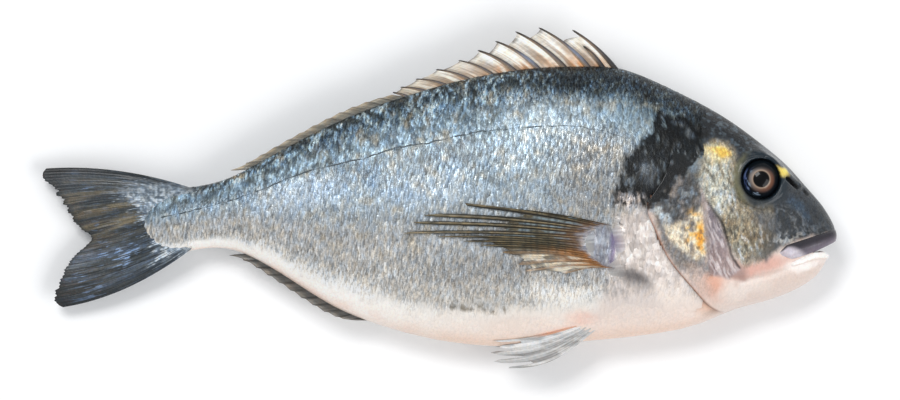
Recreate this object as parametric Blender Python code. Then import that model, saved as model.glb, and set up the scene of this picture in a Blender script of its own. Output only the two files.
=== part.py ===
"""A whole raw gilthead sea bream lying on its left flank, for Blender 4.5.

Run it with: blender --background --python part.py

The head points to +X, the back to +Y and the right flank up, to +Z. The origin lies on the
small flat that the soft lower flank makes where it rests, close to the centre of mass.
Lengths are in metres. Places read off the fish are written in millimetres and turned to
metres by MM. The body with all its fins is one solid, and each eyeball is its own solid in
its socket.
"""

import math

import bmesh
import bpy
import numpy as np

MM = 0.001

# Driving dimensions
MID_HEIGHT = 18.0 * MM  # height of the fish's middle plane above the table
REST_ROUNDING = 0.5 * MM  # how softly the flank turns into its resting flat
TAIL_DROOP = 11.0 * MM  # how far the tail's tip sags below the middle plane
DROOP_FROM = -60.0 * MM  # where along the body the sag begins
TAIL_TIP = -198.0 * MM

# Body sections from the snout to the tail's root, in millimetres:
# place along the fish, height of the back, height of the belly, half thickness
SECTIONS = (
    (111.5, -10.5, -10.5, 0.0),
    (110.8, -6.4, -14.2, 3.3),
    (108.4, -1.6, -18.3, 5.7),
    (105.3, 2.9, -23.7, 7.4),
    (99.1, 10.0, -29.0, 9.8),
    (92.8, 17.0, -32.2, 11.8),
    (83.5, 25.0, -35.5, 14.2),
    (71.0, 34.3, -39.0, 16.6),
    (58.5, 41.7, -44.2, 18.5),
    (42.9, 49.3, -47.8, 19.5),
    (27.3, 55.2, -49.8, 20.0),
    (11.7, 56.2, -51.2, 20.0),
    (-3.9, 55.7, -52.4, 19.5),
    (-19.5, 53.8, -53.0, 18.7),
    (-35.1, 50.7, -51.9, 17.5),
    (-50.7, 46.4, -49.2, 15.9),
    (-66.3, 41.2, -44.8, 14.0),
    (-81.9, 35.0, -38.8, 11.9),
    (-97.5, 27.4, -29.6, 9.7),
    (-113.1, 18.9, -20.0, 7.7),
    (-128.7, 11.4, -14.6, 6.0),
    (-140.4, 9.0, -15.8, 4.9),
    (-148.2, 7.8, -17.0, 3.9),
    (-154.0, 5.2, -15.2, 2.7),
    (-158.0, 0.6, -10.6, 1.3),
    (-159.5, -4.8, -4.8, 0.0),
)

# The level at which the body is widest, as a share of its depth from the belly up
WIDEST_AT_NOSE = 0.40
WIDEST_AT_TRUNK = 0.48
TRUNK_FROM = 40.0 * MM
BACK_FULLNESS = (2.2, 0.64)  # powers of the section's upper half
BELLY_FULLNESS = (2.4, 0.58)  # powers of the section's lower half

# Rear edge of the gill cover, then its seam with the nape, in millimetres (x, y)
GILL_EDGE = (
    (67.5, -39.4),
    (63.2, -37.4),
    (58.9, -34.0),
    (53.8, -28.5),
    (48.9, -23.0),
    (45.2, -18.0),
    (42.2, -12.1),
    (39.6, -6.2),
    (37.4, 1.6),
    (40.4, 7.4),
    (43.7, 12.6),
    (46.0, 17.9),
    (48.8, 24.0),
    (53.0, 32.0),
    (58.0, 42.0),
)
GILL_REAR = 37.4 * MM  # the hindmost point of the gill cover
BEND_FRONT = 100.0 * MM  # rings are straight from here forward
BEND_REAR = -10.0 * MM  # and from here back
FLAP_RISE = 1.5 * MM  # how proud the gill cover's rim stands
FLAP_REACH = 14.0 * MM  # how far forward that rise dies away
GROOVE_DEPTH = 0.9 * MM  # the gill opening behind the rim
GROOVE_REACH = 3.0 * MM
FLAP_TOP = (0.30, 0.55)  # share of the upper depth over which the free rim ends

# Rings of the loft
HEAD_RINGS = 24
TRUNK_RINGS = 23
RING_POINTS = 40
RIM_STEP = 0.6 * MM  # width of the step at the gill cover's rim

# Eyes
EYE_PLACE = (81.7 * MM, 12.2 * MM)
EYE_RADII = (7.4 * MM, 7.8 * MM, 5.2 * MM)
EYE_PROUD = 1.9 * MM  # how far the dome stands above the cheek
PAD_FULL = 8.0 * MM  # within this distance of the eye the cheek is nearly level
PAD_END = 15.0 * MM  # and beyond this it is left alone
PAD_TILT = 0.12  # share of the cheek's slope that stays at the eye
SOCKET_GAP = 0.35 * MM
ORBIT_RADII = (8.5 * MM, 8.9 * MM, 3.0 * MM)  # the shallow dish round the eyeball
ORBIT_DEPTH = 1.2 * MM
NOSTRIL_PLACE = (94.2 * MM, 10.4 * MM)
NOSTRIL_RADII = (2.6 * MM, 1.2 * MM, 1.6 * MM)
NOSTRIL_TURN = math.radians(-40)

# Mouth: the open wedge between the lips, seen from the side, in millimetres (x, y)
MOUTH_GAPE = ((114.0, -12.4), (108.8, -13.7), (102.5, -16.1), (108.6, -16.9), (114.0, -18.2))
# Middle line of each lip along the right cheek, in millimetres (x, y), from the corner forward
UPPER_LIP_LINE = ((89.6, -15.2), (95.5, -14.4), (102.0, -13.0), (107.5, -11.0), (110.6, -9.6))
LOWER_LIP_LINE = ((95.0, -19.4), (100.0, -18.2), (104.5, -17.7), (107.6, -18.0))
UPPER_LIP_RADIUS = 2.1 * MM
LOWER_LIP_RADIUS = 1.3 * MM
LIP_SINK = 0.45  # share of a lip's radius that lies under the skin
# The maxilla, the plate at the corner of the mouth
MAXILLA_PLACE = (94.2 * MM, -15.9 * MM)
MAXILLA_RADII = (4.6 * MM, 2.4 * MM, 1.5 * MM)
MAXILLA_SUNK = 0.8 * MM
MAXILLA_TURN = math.radians(-28)

# Spines of the dorsal fin from the front: root x, tip (x, y), bow of the spine, millimetres
DORSAL_SPINES = (
    (27.0, (8.6, 70.4), 1.4),
    (21.6, (12.9, 64.1), 0.8),
    (16.4, (-4.5, 71.3), 1.6),
    (7.2, (-13.6, 69.7), 1.5),
    (-3.0, (-21.4, 66.0), 1.4),
    (-12.0, (-28.3, 62.4), 1.2),
    (-20.4, (-35.8, 58.5), 1.1),
    (-29.3, (-44.6, 54.9), 1.0),
    (-38.0, (-52.5, 51.2), 0.8),
    (-46.0, (-58.5, 48.0), 0.6),
    (-53.5, (-61.5, 46.0), 0.4),
)
SPINE_RADIUS = 0.95 * MM
SPINE_TIP_SHARE = 0.25  # tip radius as a share of the root radius
SPINE_STEPS = 3
FIN_ROOT = 2.4 * MM  # how deep a fin's root is sunk in the body
MEMBRANE_THICKNESS = 0.8 * MM
MEMBRANE_REACH = 0.76  # share of the next spine that each membrane climbs
MEMBRANE_SAG = 0.07  # how far its edge hangs between the two spines
SPINE_ZIGZAG = 0.7 * MM  # spines lean left and right by turns

# Folded soft dorsal fin: ends along the back, and its height along it, millimetres
SOFT_DORSAL_SPAN = (-53.0, -114.0)
SOFT_DORSAL_HEIGHTS = (2.4, 3.2, 3.4, 3.2, 3.0, 2.8, 2.6, 1.6)
SOFT_DORSAL_RAYS = 13
# Folded anal fin, the same along the belly
ANAL_SPAN = (-66.0, -114.5)
ANAL_HEIGHTS = (1.2, 3.4, 4.2, 4.3, 4.2, 3.8, 3.0, 1.4)
ANAL_RAYS = 12
FOLD_LEAN = 9.0 * MM  # how far back a folded ray's tip lies behind its root
FREE_TIP = 2.0 * MM  # how far the last folded rays reach free of the body
FOLDED_THICKNESS = 1.6 * MM

# Tail fin: root line, rear edge and both bows, in millimetres (x, y), from the top lobe down
TAIL_ROOT = ((-137.0, 7.6), (-147.0, 3.4), (-150.0, -4.0), (-147.5, -11.4), (-140.0, -15.0))
TAIL_EDGE = (
    (-197.4, 16.4),
    (-199.2, 13.6),
    (-195.6, 7.0),
    (-189.0, -1.2),
    (-182.6, -8.8),
    (-180.2, -10.8),
    (-184.2, -15.4),
    (-190.4, -22.6),
    (-193.8, -30.6),
    (-194.6, -35.0),
    (-190.8, -38.0),
)
TAIL_BOWS = (3.2 * MM, 3.8 * MM)  # how far the top and bottom rays bow outwards
TAIL_RAYS = 17
TAIL_RAY_STEPS = 6
TAIL_NOTCH = 0.03  # share of a ray's length by which the web between rays falls short
TAIL_THICKNESS = 1.0 * MM
TAIL_ROOT_SWELL = 0.9 * MM  # how much higher the ripple of the rays is at the root

# Pectoral fin: root line and ray tips on the flank, millimetres (x, y), from the top ray down
PECTORAL_ROOT = ((21.0, -7.0), (25.0, -15.0), (20.0, -23.4))
PECTORAL_TIPS = (
    (-14.0, 1.6),
    (-32.0, 2.7),
    (-48.4, -2.0),
    (-52.4, -4.8),
    (-55.8, -9.0),
    (-42.9, -10.3),
    (-30.0, -12.6),
    (-21.5, -14.8),
    (-15.0, -17.0),
    (-10.8, -21.8),
    (-3.5, -24.6),
    (7.0, -25.6),
)
PECTORAL_NOTCHES = (0.12, 0.3, 0.3, 0.26, 0.24, 0.16, 0.1, 0.06, 0.05, 0.05, 0.05)
PECTORAL_STEPS = 7
PECTORAL_LIFT = 1.0 * MM  # height of the fin over the flank
PECTORAL_THICKNESS = 1.3 * MM
PECTORAL_DEPTH_AT_ROOT = 2.0 * MM
PECTORAL_CLEAR = 0.25 * MM  # least height of the lower fin's underside above the table

# Pelvic fins: root line and ray tips, millimetres (x, y), from the belly side down
PELVIC_ROOT = ((10.0, -45.0), (14.0, -45.6), (17.4, -46.6))
PELVIC_TIPS = (
    (-22.2, -50.8),
    (-20.2, -53.4),
    (-22.0, -55.8),
    (-22.2, -59.0),
    (-16.4, -61.6),
)
PELVIC_NOTCHES = (0.24, 0.14, 0.26, 0.28)
PELVIC_STEPS = 6
PELVIC_BOW = 4.6 * MM
PELVIC_HEIGHTS = (5.2 * MM, -4.2 * MM)  # of the right and left fin over the middle plane
PELVIC_SAG = 4.0 * MM
PELVIC_THICKNESS = 1.0 * MM
LEFT_PELVIC_TURN = math.radians(-5)

RAY_RELIEF = 0.35 * MM  # how far a ray stands above the web beside it

# Colours
SKIN_GREY = (0.33, 0.38, 0.42)
FIN_BROWN = (0.24, 0.22, 0.19)
EYE_DARK = (0.03, 0.03, 0.035)


def clear_scene():
    """Removes everything that the new file holds."""
    for obj in list(bpy.data.objects):
        bpy.data.objects.remove(obj, do_unlink=True)


def collection(name):
    """A new collection linked to the scene."""
    made = bpy.data.collections.new(name)
    bpy.context.scene.collection.children.link(made)
    return made


def material(name, colour, roughness, metallic=0.0):
    """A Principled material of one colour."""
    made = bpy.data.materials.new(name)
    made.use_nodes = True
    shader = made.node_tree.nodes["Principled BSDF"]
    shader.inputs["Base Color"].default_value = (*colour, 1.0)
    shader.inputs["Roughness"].default_value = roughness
    shader.inputs["Metallic"].default_value = metallic
    return made


def natural_spline(knots, values, at):
    """The natural cubic spline through values at knots, read at each number in at."""
    knots = np.asarray(knots, float)
    values = np.asarray(values, float)
    count = len(knots)
    step = np.diff(knots)
    system = np.zeros((count, count))
    right = np.zeros(values.shape)
    system[0, 0] = system[-1, -1] = 1.0
    for i in range(1, count - 1):
        system[i, i - 1 : i + 2] = step[i - 1], 2 * (step[i - 1] + step[i]), step[i]
        right[i] = 6 * (
            (values[i + 1] - values[i]) / step[i] - (values[i] - values[i - 1]) / step[i - 1]
        )
    curve = np.linalg.solve(system, right)
    at = np.asarray(at, float)
    i = np.clip(np.searchsorted(knots, at) - 1, 0, count - 2)
    h = step[i]
    a = (knots[i + 1] - at) / h
    b = 1.0 - a
    if values.ndim > 1:
        h, a, b = h[..., None], a[..., None], b[..., None]
    return (
        a * values[i]
        + b * values[i + 1]
        + ((a**3 - a) * curve[i] + (b**3 - b) * curve[i + 1]) * h**2 / 6
    )


def chord_lengths(points):
    """Distance along a chain of points, from its first."""
    steps = np.linalg.norm(np.diff(np.asarray(points, float), axis=0), axis=1)
    return np.concatenate([[0.0], np.cumsum(steps)])


def smooth_step(edge0, edge1, value):
    """0 below edge0, 1 above edge1, and a smooth rise between them."""
    share = np.clip((value - edge0) / (edge1 - edge0), 0.0, 1.0)
    return share * share * (3 - 2 * share)


SECTION_TABLE = np.array(SECTIONS) * MM
SECTION_CHORD = chord_lengths(SECTION_TABLE)
DENSE = natural_spline(SECTION_CHORD, SECTION_TABLE, np.linspace(0, SECTION_CHORD[-1], 2000))
DENSE_X = np.minimum.accumulate(DENSE[:, 0])[::-1]
DENSE_BACK, DENSE_BELLY, DENSE_HALF = (DENSE[::-1, k] for k in (1, 2, 3))


def outline_at(x):
    """Back height, belly height and half thickness of the body at each x."""
    return (
        np.interp(x, DENSE_X, DENSE_BACK),
        np.interp(x, DENSE_X, DENSE_BELLY),
        np.maximum(np.interp(x, DENSE_X, DENSE_HALF), 0.0),
    )


def middle_height(x):
    """Height of the fish's middle plane over the table: level, then sagging to the tail."""
    share = np.clip((DROOP_FROM - x) / (DROOP_FROM - TAIL_TIP), 0.0, None)
    return MID_HEIGHT - TAIL_DROOP * share**2


def level_of(x, t):
    """Height y at depth share t, which is 1 on the back, 0 where widest and -1 on the belly."""
    back, belly, _ = outline_at(x)
    nose = smooth_step(TRUNK_FROM, SECTION_TABLE[0, 0], x)
    widest = belly + (back - belly) * (WIDEST_AT_TRUNK + (WIDEST_AT_NOSE - WIDEST_AT_TRUNK) * nose)
    return widest + np.where(t > 0, back - widest, widest - belly) * t


def depth_share(x, y):
    """The share t that level_of turns into height y."""
    widest = level_of(x, np.zeros_like(x))
    top = level_of(x, np.ones_like(x))
    low = level_of(x, -np.ones_like(x))
    reach = np.maximum(np.where(y > widest, top - widest, widest - low), 1e-6)
    return (y - widest) / reach


def half_width(x, t):
    """Half thickness of the body at x and depth share t."""
    half = outline_at(x)[2]
    share = np.clip(np.abs(t), 0.0, 1.0)
    upper = np.clip(1 - share ** BACK_FULLNESS[0], 0, 1) ** BACK_FULLNESS[1]
    lower = np.clip(1 - share ** BELLY_FULLNESS[0], 0, 1) ** BELLY_FULLNESS[1]
    return half * np.where(t > 0, upper, lower)


def rest_on_table(z):
    """Flattens what would sink into the table, with a small rounding at the flat's edge."""
    r = REST_ROUNDING
    return np.where(z > r, z, np.where(z < -r, 0.0, (z + r) ** 2 / (4 * r)))


def plain_half(x, y):
    """Half thickness of the body at (x, y), without the raised surround of the eye."""
    x = np.asarray(x, float)
    y = np.asarray(y, float)
    return half_width(x, depth_share(x, y))


def eye_pad(x, y):
    """How far the cheek near the eye is raised or lowered to make it nearly level there."""
    eye_x, eye_y = EYE_PLACE
    reach = 0.5 * MM
    centre = float(plain_half(eye_x, eye_y))
    slope_x = (float(plain_half(eye_x + reach, eye_y)) - centre) / reach
    slope_y = (float(plain_half(eye_x, eye_y + reach)) - centre) / reach
    level = centre + PAD_TILT * (slope_x * (x - eye_x) + slope_y * (y - eye_y))
    weight = 1 - smooth_step(PAD_FULL, PAD_END, np.hypot(x - eye_x, y - eye_y))
    inner = smooth_step(0.0, 3.0 * MM, outline_at(x)[0] - y)
    return weight * inner * (level - plain_half(x, y))


def flank_height(x, y, side=1.0):
    """Height z of the skin over the table at (x, y), on the upper (1) or lower (-1) flank."""
    return middle_height(x) + side * (plain_half(x, y) + eye_pad(x, y))


def gill_edge_x(y):
    """x of the gill cover's edge at height y."""
    edge = np.array(GILL_EDGE) * MM
    return natural_spline(edge[:, 1], edge[:, 0], np.clip(y, edge[0, 1], edge[-1, 1]))


def gill_edge_at_share(t):
    """x of the gill cover's edge at depth share t, found by closing in on it."""
    x = np.full_like(t, 45.0 * MM)
    for _ in range(12):
        x = 0.5 * x + 0.5 * gill_edge_x(level_of(x, t))
    return x


def ring_places():
    """Places of the loft's rings along the body, with a close pair at the gill cover's rim."""
    total = SECTION_CHORD[-1]
    dense_chord = np.linspace(0, total, len(DENSE))
    gill = np.interp(-GILL_REAR, -DENSE[:, 0], dense_chord)
    head = np.linspace(0.0, gill, HEAD_RINGS)
    trunk = gill + RIM_STEP + (total - gill - RIM_STEP) * np.linspace(0, 1, TRUNK_RINGS) ** 0.9
    chord = np.concatenate([head, trunk])
    return np.interp(chord, dense_chord, DENSE[:, 0])


def body_point(x, t, side):
    """A point of the smooth body: depth share t of the section at x, on the side 1 or -1."""
    return np.stack([x, level_of(x, t), middle_height(x) + side * half_width(x, t)], axis=-1)


def flap_relief(ring_x, t):
    """Rise of the gill cover's rim and the groove behind it, by the ring's distance from it."""
    ahead = ring_x - GILL_REAR
    free = 1 - smooth_step(*FLAP_TOP, t)
    rise = FLAP_RISE * np.exp(-np.maximum(ahead, 0) / FLAP_REACH)
    groove = -GROOVE_DEPTH * np.exp(np.minimum(ahead, 0) / GROOVE_REACH)
    return free * np.where(ahead > -RIM_STEP / 2, rise, groove)


def body_blank(skin):
    """The smooth body, a ball whose latitudes become rings and longitudes run along the fish."""
    places = ring_places()
    mesh = bmesh.new()
    bmesh.ops.create_uvsphere(
        mesh, u_segments=RING_POINTS, v_segments=len(places) - 1, radius=1.0
    )
    mesh.verts.ensure_lookup_table()
    ball = np.array([v.co for v in mesh.verts])
    latitude = np.arccos(np.clip(ball[:, 2], -1, 1)) / math.pi
    ring = np.round(latitude * (len(places) - 1)).astype(int)
    ring_x = places[ring]
    around = np.arctan2(ball[:, 1], ball[:, 0])
    t = np.cos(around)
    side = np.sin(around)
    across = np.sign(np.where(np.abs(side) < 1e-6, 0, side))
    strength = smooth_step(BEND_REAR, GILL_REAR, ring_x) * (
        1 - smooth_step(GILL_REAR, BEND_FRONT, ring_x)
    )
    x = ring_x + strength * (gill_edge_at_share(t) - GILL_REAR)
    at_pole = (ring == 0) | (ring == len(places) - 1)
    x = np.where(at_pole, ring_x, x)
    points = body_point(x, t, across)
    relief = flap_relief(ring_x, t)
    points[:, 2] += (relief * np.abs(side) + eye_pad(points[:, 0], points[:, 1])) * across
    points[:, 2] = rest_on_table(points[:, 2])
    for vert, point in zip(mesh.verts, points, strict=True):
        vert.co = point
    bmesh.ops.recalc_face_normals(mesh, faces=mesh.faces)
    return mesh_object("fish", mesh, skin)


def mesh_object(name, mesh, surface):
    """An object that holds a bmesh, which is freed."""
    data = bpy.data.meshes.new(name)
    mesh.to_mesh(data)
    mesh.free()
    data.materials.append(surface)
    return bpy.data.objects.new(name, data)


def sheet(name, shape, columns, rows, thickness, surface):
    """A plate whose middle follows shape(u, v), raised from its lower to its upper face.

    u runs across the rays and v along them, both from 0 to 1. The plate lies more or less
    level, so its thickness is measured upwards.
    """
    mesh = bmesh.new()
    bmesh.ops.create_grid(mesh, x_segments=columns, y_segments=rows, size=1.0)
    flat = np.array([v.co for v in mesh.verts])
    points = shape((flat[:, 0] + 1) / 2, (flat[:, 1] + 1) / 2)
    points[:, 2] -= thickness / 2
    for vert, point in zip(mesh.verts, points, strict=True):
        vert.co = point
    bmesh.ops.triangulate(mesh, faces=mesh.faces)
    raised = bmesh.ops.extrude_face_region(mesh, geom=list(mesh.faces))["geom"]
    upper = [item for item in raised if isinstance(item, bmesh.types.BMVert)]
    bmesh.ops.translate(mesh, vec=(0.0, 0.0, thickness), verts=upper)
    bmesh.ops.recalc_face_normals(mesh, faces=mesh.faces)
    return mesh_object(name, mesh, surface)


def ray_wave(u, rays):
    """1 on each ray and -1 midway between two, for rays spread evenly over u."""
    return np.cos(2 * math.pi * u * (rays - 1))


def along(points, share):
    """Points at each share of a smooth curve through a chain of points in millimetres."""
    chain = np.array(points, float) * MM
    chord = chord_lengths(chain)
    return natural_spline(chord, chain, share * chord[-1])


def by_ray(values, u):
    """Values given for each ray, read at u by straight lines from ray to ray."""
    values = np.asarray(values, float)
    places = np.linspace(0, 1, len(values))
    if values.ndim == 1:
        return np.interp(u, places, values)
    return np.stack([np.interp(u, places, values[:, k]) for k in range(values.shape[1])], -1)


def spine_path(spine, share):
    """Points of a dorsal spine: a straight line from its sunk root to its tip, bowed forward."""
    root_x, tip, bow = spine
    root = np.array([root_x * MM, np.interp(root_x * MM, DENSE_X, DENSE_BACK) - FIN_ROOT])
    tip = np.array(tip) * MM
    line = tip - root
    across = np.array([-line[1], line[0]]) / np.linalg.norm(line)
    share = np.asarray(share, float)[..., None]
    return root + line * share - across * (4 * bow * MM * share * (1 - share))


def dorsal_spine(index, fin):
    """One spiny ray: a tapering tube along its path."""
    share = np.linspace(0, 1, SPINE_STEPS + 1)
    path = spine_path(DORSAL_SPINES[index], share)
    curve = bpy.data.curves.new(f"dorsal_spine_{index + 1}", "CURVE")
    curve.dimensions = "3D"
    curve.bevel_depth = SPINE_RADIUS
    curve.bevel_resolution = 1
    curve.use_fill_caps = True
    spline = curve.splines.new("POLY")
    spline.points.add(len(path) - 1)
    lean = SPINE_ZIGZAG * (1 if index % 2 else -1)
    for point, (x, y), s in zip(spline.points, path, share, strict=True):
        point.co = (x, y, float(middle_height(x)) + lean * s, 1.0)
        point.radius = 1 - (1 - SPINE_TIP_SHARE) * s
    return tube_as_mesh(curve, fin)


def tube_as_mesh(curve, surface):
    """The closed mesh of a bevelled curve, its caps welded to its sides."""
    curve.materials.append(surface)
    holder = bpy.data.objects.new(curve.name + "_curve", curve)
    bpy.context.scene.collection.objects.link(holder)
    graph = bpy.context.evaluated_depsgraph_get()
    data = bpy.data.meshes.new_from_object(holder.evaluated_get(graph))
    mesh = bmesh.new()
    mesh.from_mesh(data)
    bmesh.ops.remove_doubles(mesh, verts=mesh.verts, dist=1e-5)
    bmesh.ops.recalc_face_normals(mesh, faces=mesh.faces)
    mesh.to_mesh(data)
    mesh.free()
    made = bpy.data.objects.new(curve.name, data)
    made.matrix_world = holder.matrix_world
    bpy.data.objects.remove(holder)
    return made


def dorsal_membrane(fin):
    """The web between the dorsal spines: it leaves each spine at its tip and meets the next
    one part of the way up, so that its edge is a row of steps."""
    columns_per_gap = 3
    gaps = len(DORSAL_SPINES) - 1

    def shape(u, v):
        place = u * gaps
        gap = np.clip(np.floor(place - 1e-9).astype(int), 0, gaps - 1)
        share = place - gap
        points = np.empty((len(u), 3))
        for k in range(gaps):
            here = gap == k
            s = share[here]
            reach = 1 - (1 - MEMBRANE_REACH) * s
            sag = 1 - MEMBRANE_SAG * 4 * s * (1 - s)
            front = spine_path(DORSAL_SPINES[k], v[here] * 0.96 * sag)
            rear = spine_path(DORSAL_SPINES[k + 1], v[here] * reach * sag * 0.96)
            points[here, :2] = front * (1 - s)[:, None] + rear * s[:, None]
            side = SPINE_ZIGZAG * (1 if k % 2 else -1)
            points[here, 2] = middle_height(points[here, 0]) + side * (1 - 2 * s) * v[here]
        return points

    return sheet("dorsal_membrane", shape, gaps * columns_per_gap, 3, MEMBRANE_THICKNESS, fin)


def folded_fin(name, span, heights, rays, edge, outward, fin):
    """A soft fin folded flat along the body's edge, its rays lying back in the middle plane.

    span is its two ends along the body, edge gives the body's line at x, and outward is 1
    for the back and -1 for the belly.
    """

    def shape(u, v):
        root_x = (span[0] + (span[1] - span[0]) * u) * MM
        height = np.interp(u, np.linspace(0, 1, len(heights)), heights) * MM
        last = np.clip((u - 0.86) / 0.14, 0, 1)
        x = root_x - (FOLD_LEAN + last * FREE_TIP) * v
        level = edge(x)
        y = level + outward * (height * v - FIN_ROOT * (1 - v) * 0.8)
        y += outward * last * v * 1.2 * MM
        ripple = ray_wave(u, rays) * RAY_RELIEF * v
        return np.stack([x, y, middle_height(x) + ripple], axis=-1)

    return sheet(name, shape, (rays - 1) * 2, 2, FOLDED_THICKNESS, fin)


def tail_fin(fin):
    """The forked tail: rays fan from the root line to the rear edge over a rippled web."""

    def shape(u, v):
        root = along(TAIL_ROOT, u)
        wave = ray_wave(u, TAIL_RAYS)
        tip = along(TAIL_EDGE, u)
        reach = v * (1 - TAIL_NOTCH * (1 - wave) / 2)
        flat = root + (tip - root) * reach[:, None]
        spread = 1 - 2 * u
        bow = np.where(spread > 0, TAIL_BOWS[0], TAIL_BOWS[1])
        flat[:, 1] += bow * 4 * reach * (1 - reach) * spread
        swell = TAIL_ROOT_SWELL * (1 - smooth_step(0.0, 0.5, v)) + RAY_RELIEF
        return np.column_stack([flat, middle_height(flat[:, 0]) + wave * swell * 0.5])

    return sheet("tail_fin", shape, (TAIL_RAYS - 1) * 2, TAIL_RAY_STEPS, TAIL_THICKNESS, fin)


def pectoral_fin(name, side, fin):
    """A long pectoral fin laid back over the flank, its rays free of the web at their ends."""
    rays = len(PECTORAL_TIPS)
    notches = np.array((*PECTORAL_NOTCHES, PECTORAL_NOTCHES[-1]))

    def shape(u, v):
        root = along(PECTORAL_ROOT, u)
        tip = by_ray(np.array(PECTORAL_TIPS) * MM, u)
        wave = ray_wave(u, rays)
        gap = np.clip(np.floor(u * (rays - 1)).astype(int), 0, rays - 2)
        reach = v * (1 - notches[gap] * (1 - wave) / 2)
        flat = root + (tip - root) * reach[:, None]
        flat[:, 1] += 1.2 * MM * np.sin(math.pi * reach)
        lift = PECTORAL_LIFT * smooth_step(0.0, 0.25, v)
        lift -= PECTORAL_DEPTH_AT_ROOT * (1 - smooth_step(0.0, 0.18, v))
        lift += RAY_RELIEF * wave * smooth_step(0.1, 0.3, v)
        z = flank_height(flat[:, 0], flat[:, 1], side) + side * lift
        least = PECTORAL_CLEAR + PECTORAL_THICKNESS / 2
        return np.column_stack([flat, np.maximum(z, least) if side < 0 else z])

    return sheet(name, shape, (rays - 1) * 2, PECTORAL_STEPS, PECTORAL_THICKNESS, fin)


def pelvic_fin(name, height, turn, fin):
    """One of the paired belly fins, a fan of soft rays swept back from a short root."""
    rays = len(PELVIC_TIPS)
    notches = np.array((*PELVIC_NOTCHES, PELVIC_NOTCHES[-1]))
    pivot = np.array(PELVIC_ROOT[1]) * MM

    def shape(u, v):
        root = along(PELVIC_ROOT, u)
        tip = by_ray(np.array(PELVIC_TIPS) * MM, u)
        wave = ray_wave(u, rays)
        gap = np.clip(np.floor(u * (rays - 1)).astype(int), 0, rays - 2)
        reach = v * (1 - notches[gap] * (1 - wave) / 2)
        flat = root + (tip - root) * reach[:, None]
        flat[:, 1] -= PELVIC_BOW * np.sin(math.pi * reach) * (0.25 + 0.75 * u)
        from_pivot = flat - pivot
        cosine, sine = math.cos(turn), math.sin(turn)
        flat = pivot + np.column_stack(
            [
                from_pivot[:, 0] * cosine - from_pivot[:, 1] * sine,
                from_pivot[:, 0] * sine + from_pivot[:, 1] * cosine,
            ]
        )
        z = middle_height(flat[:, 0]) + height - PELVIC_SAG * v**2
        z += RAY_RELIEF * wave * smooth_step(0.1, 0.3, v)
        return np.column_stack([flat, z])

    return sheet(name, shape, (rays - 1) * 2, PELVIC_STEPS, PELVIC_THICKNESS, fin)


def lip(name, line, radius, skin):
    """A fleshy lip: a tube sunk in the skin that runs round the snout from corner to corner."""
    chain = along(line, np.linspace(0, 1, 8))
    inset = radius * LIP_SINK
    rise = flank_height(chain[:, 0], chain[:, 1]) - middle_height(chain[:, 0])
    rise = np.maximum(rise - inset, 0.0)
    right = [(x, y, z) for (x, y), z in zip(chain, rise, strict=True)]
    tip_x = chain[-1, 0] + (0.0 if rise[-1] < radius else 0.3 * MM)
    right[-1] = (tip_x - inset, chain[-1, 1], max(rise[-1] * 0.8, 0.4 * MM))
    left = [(x, y, -z) for x, y, z in reversed(right)]
    path = right + left
    curve = bpy.data.curves.new(name, "CURVE")
    curve.dimensions = "3D"
    curve.bevel_depth = radius
    curve.bevel_resolution = 1
    curve.use_fill_caps = True
    spline = curve.splines.new("POLY")
    spline.points.add(len(path) - 1)
    half = len(right) - 1
    for i, (x, y, z) in enumerate(path):
        nearness = min(i, len(path) - 1 - i) / half
        spline.points[i].co = (x, y, float(middle_height(x)) + z, 1.0)
        spline.points[i].radius = 0.45 + 0.55 * min(1.0, nearness * 1.6)
    return tube_as_mesh(curve, skin)


def ball(name, place, radii, turn, side, depth, surface, segments=(20, 14)):
    """An ellipsoid at (x, y) whose middle lies depth under the skin of one flank."""
    mesh = bmesh.new()
    bmesh.ops.create_uvsphere(mesh, u_segments=segments[0], v_segments=segments[1], radius=1.0)
    bmesh.ops.scale(mesh, vec=radii, verts=mesh.verts)
    made = mesh_object(name, mesh, surface)
    height = float(flank_height(place[0], place[1], side)) - side * depth
    made.location = (place[0], place[1], height)
    made.rotation_euler = (0.0, 0.0, turn)
    return made


def mouth_cutter(surface):
    """The wedge between the open lips, a flat outline extruded right across the snout."""
    curve = bpy.data.curves.new("mouth_gape", "CURVE")
    curve.dimensions = "2D"
    curve.fill_mode = "BOTH"
    curve.extrude = 14 * MM
    spline = curve.splines.new("POLY")
    spline.points.add(len(MOUTH_GAPE) - 1)
    for point, (x, y) in zip(spline.points, MOUTH_GAPE, strict=True):
        point.co = (x * MM, y * MM, 0.0, 1.0)
    spline.use_cyclic_u = True
    made = tube_as_mesh(curve, surface)
    made.location.z = MID_HEIGHT
    return made


def combine(target, pieces, operation):
    """Joins pieces to target, or cuts them from it, and removes them."""
    folder = collection(operation.lower() + "_pieces")
    for piece in pieces:
        folder.objects.link(piece)
        piece.hide_render = True
        piece.display_type = "WIRE"
    step = target.modifiers.new(operation.lower(), "BOOLEAN")
    step.operation = operation
    step.solver = "EXACT"
    step.operand_type = "COLLECTION"
    step.collection = folder
    graph = bpy.context.evaluated_depsgraph_get()
    data = bpy.data.meshes.new_from_object(target.evaluated_get(graph))
    target.modifiers.clear()
    target.data = data
    for piece in pieces:
        bpy.data.objects.remove(piece)
    bpy.data.collections.remove(folder)


def shade(obj):
    """Smooth shading with the true edges kept sharp."""
    obj.data.shade_smooth()
    obj.data.set_sharp_from_angle(angle=math.radians(40))


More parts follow.
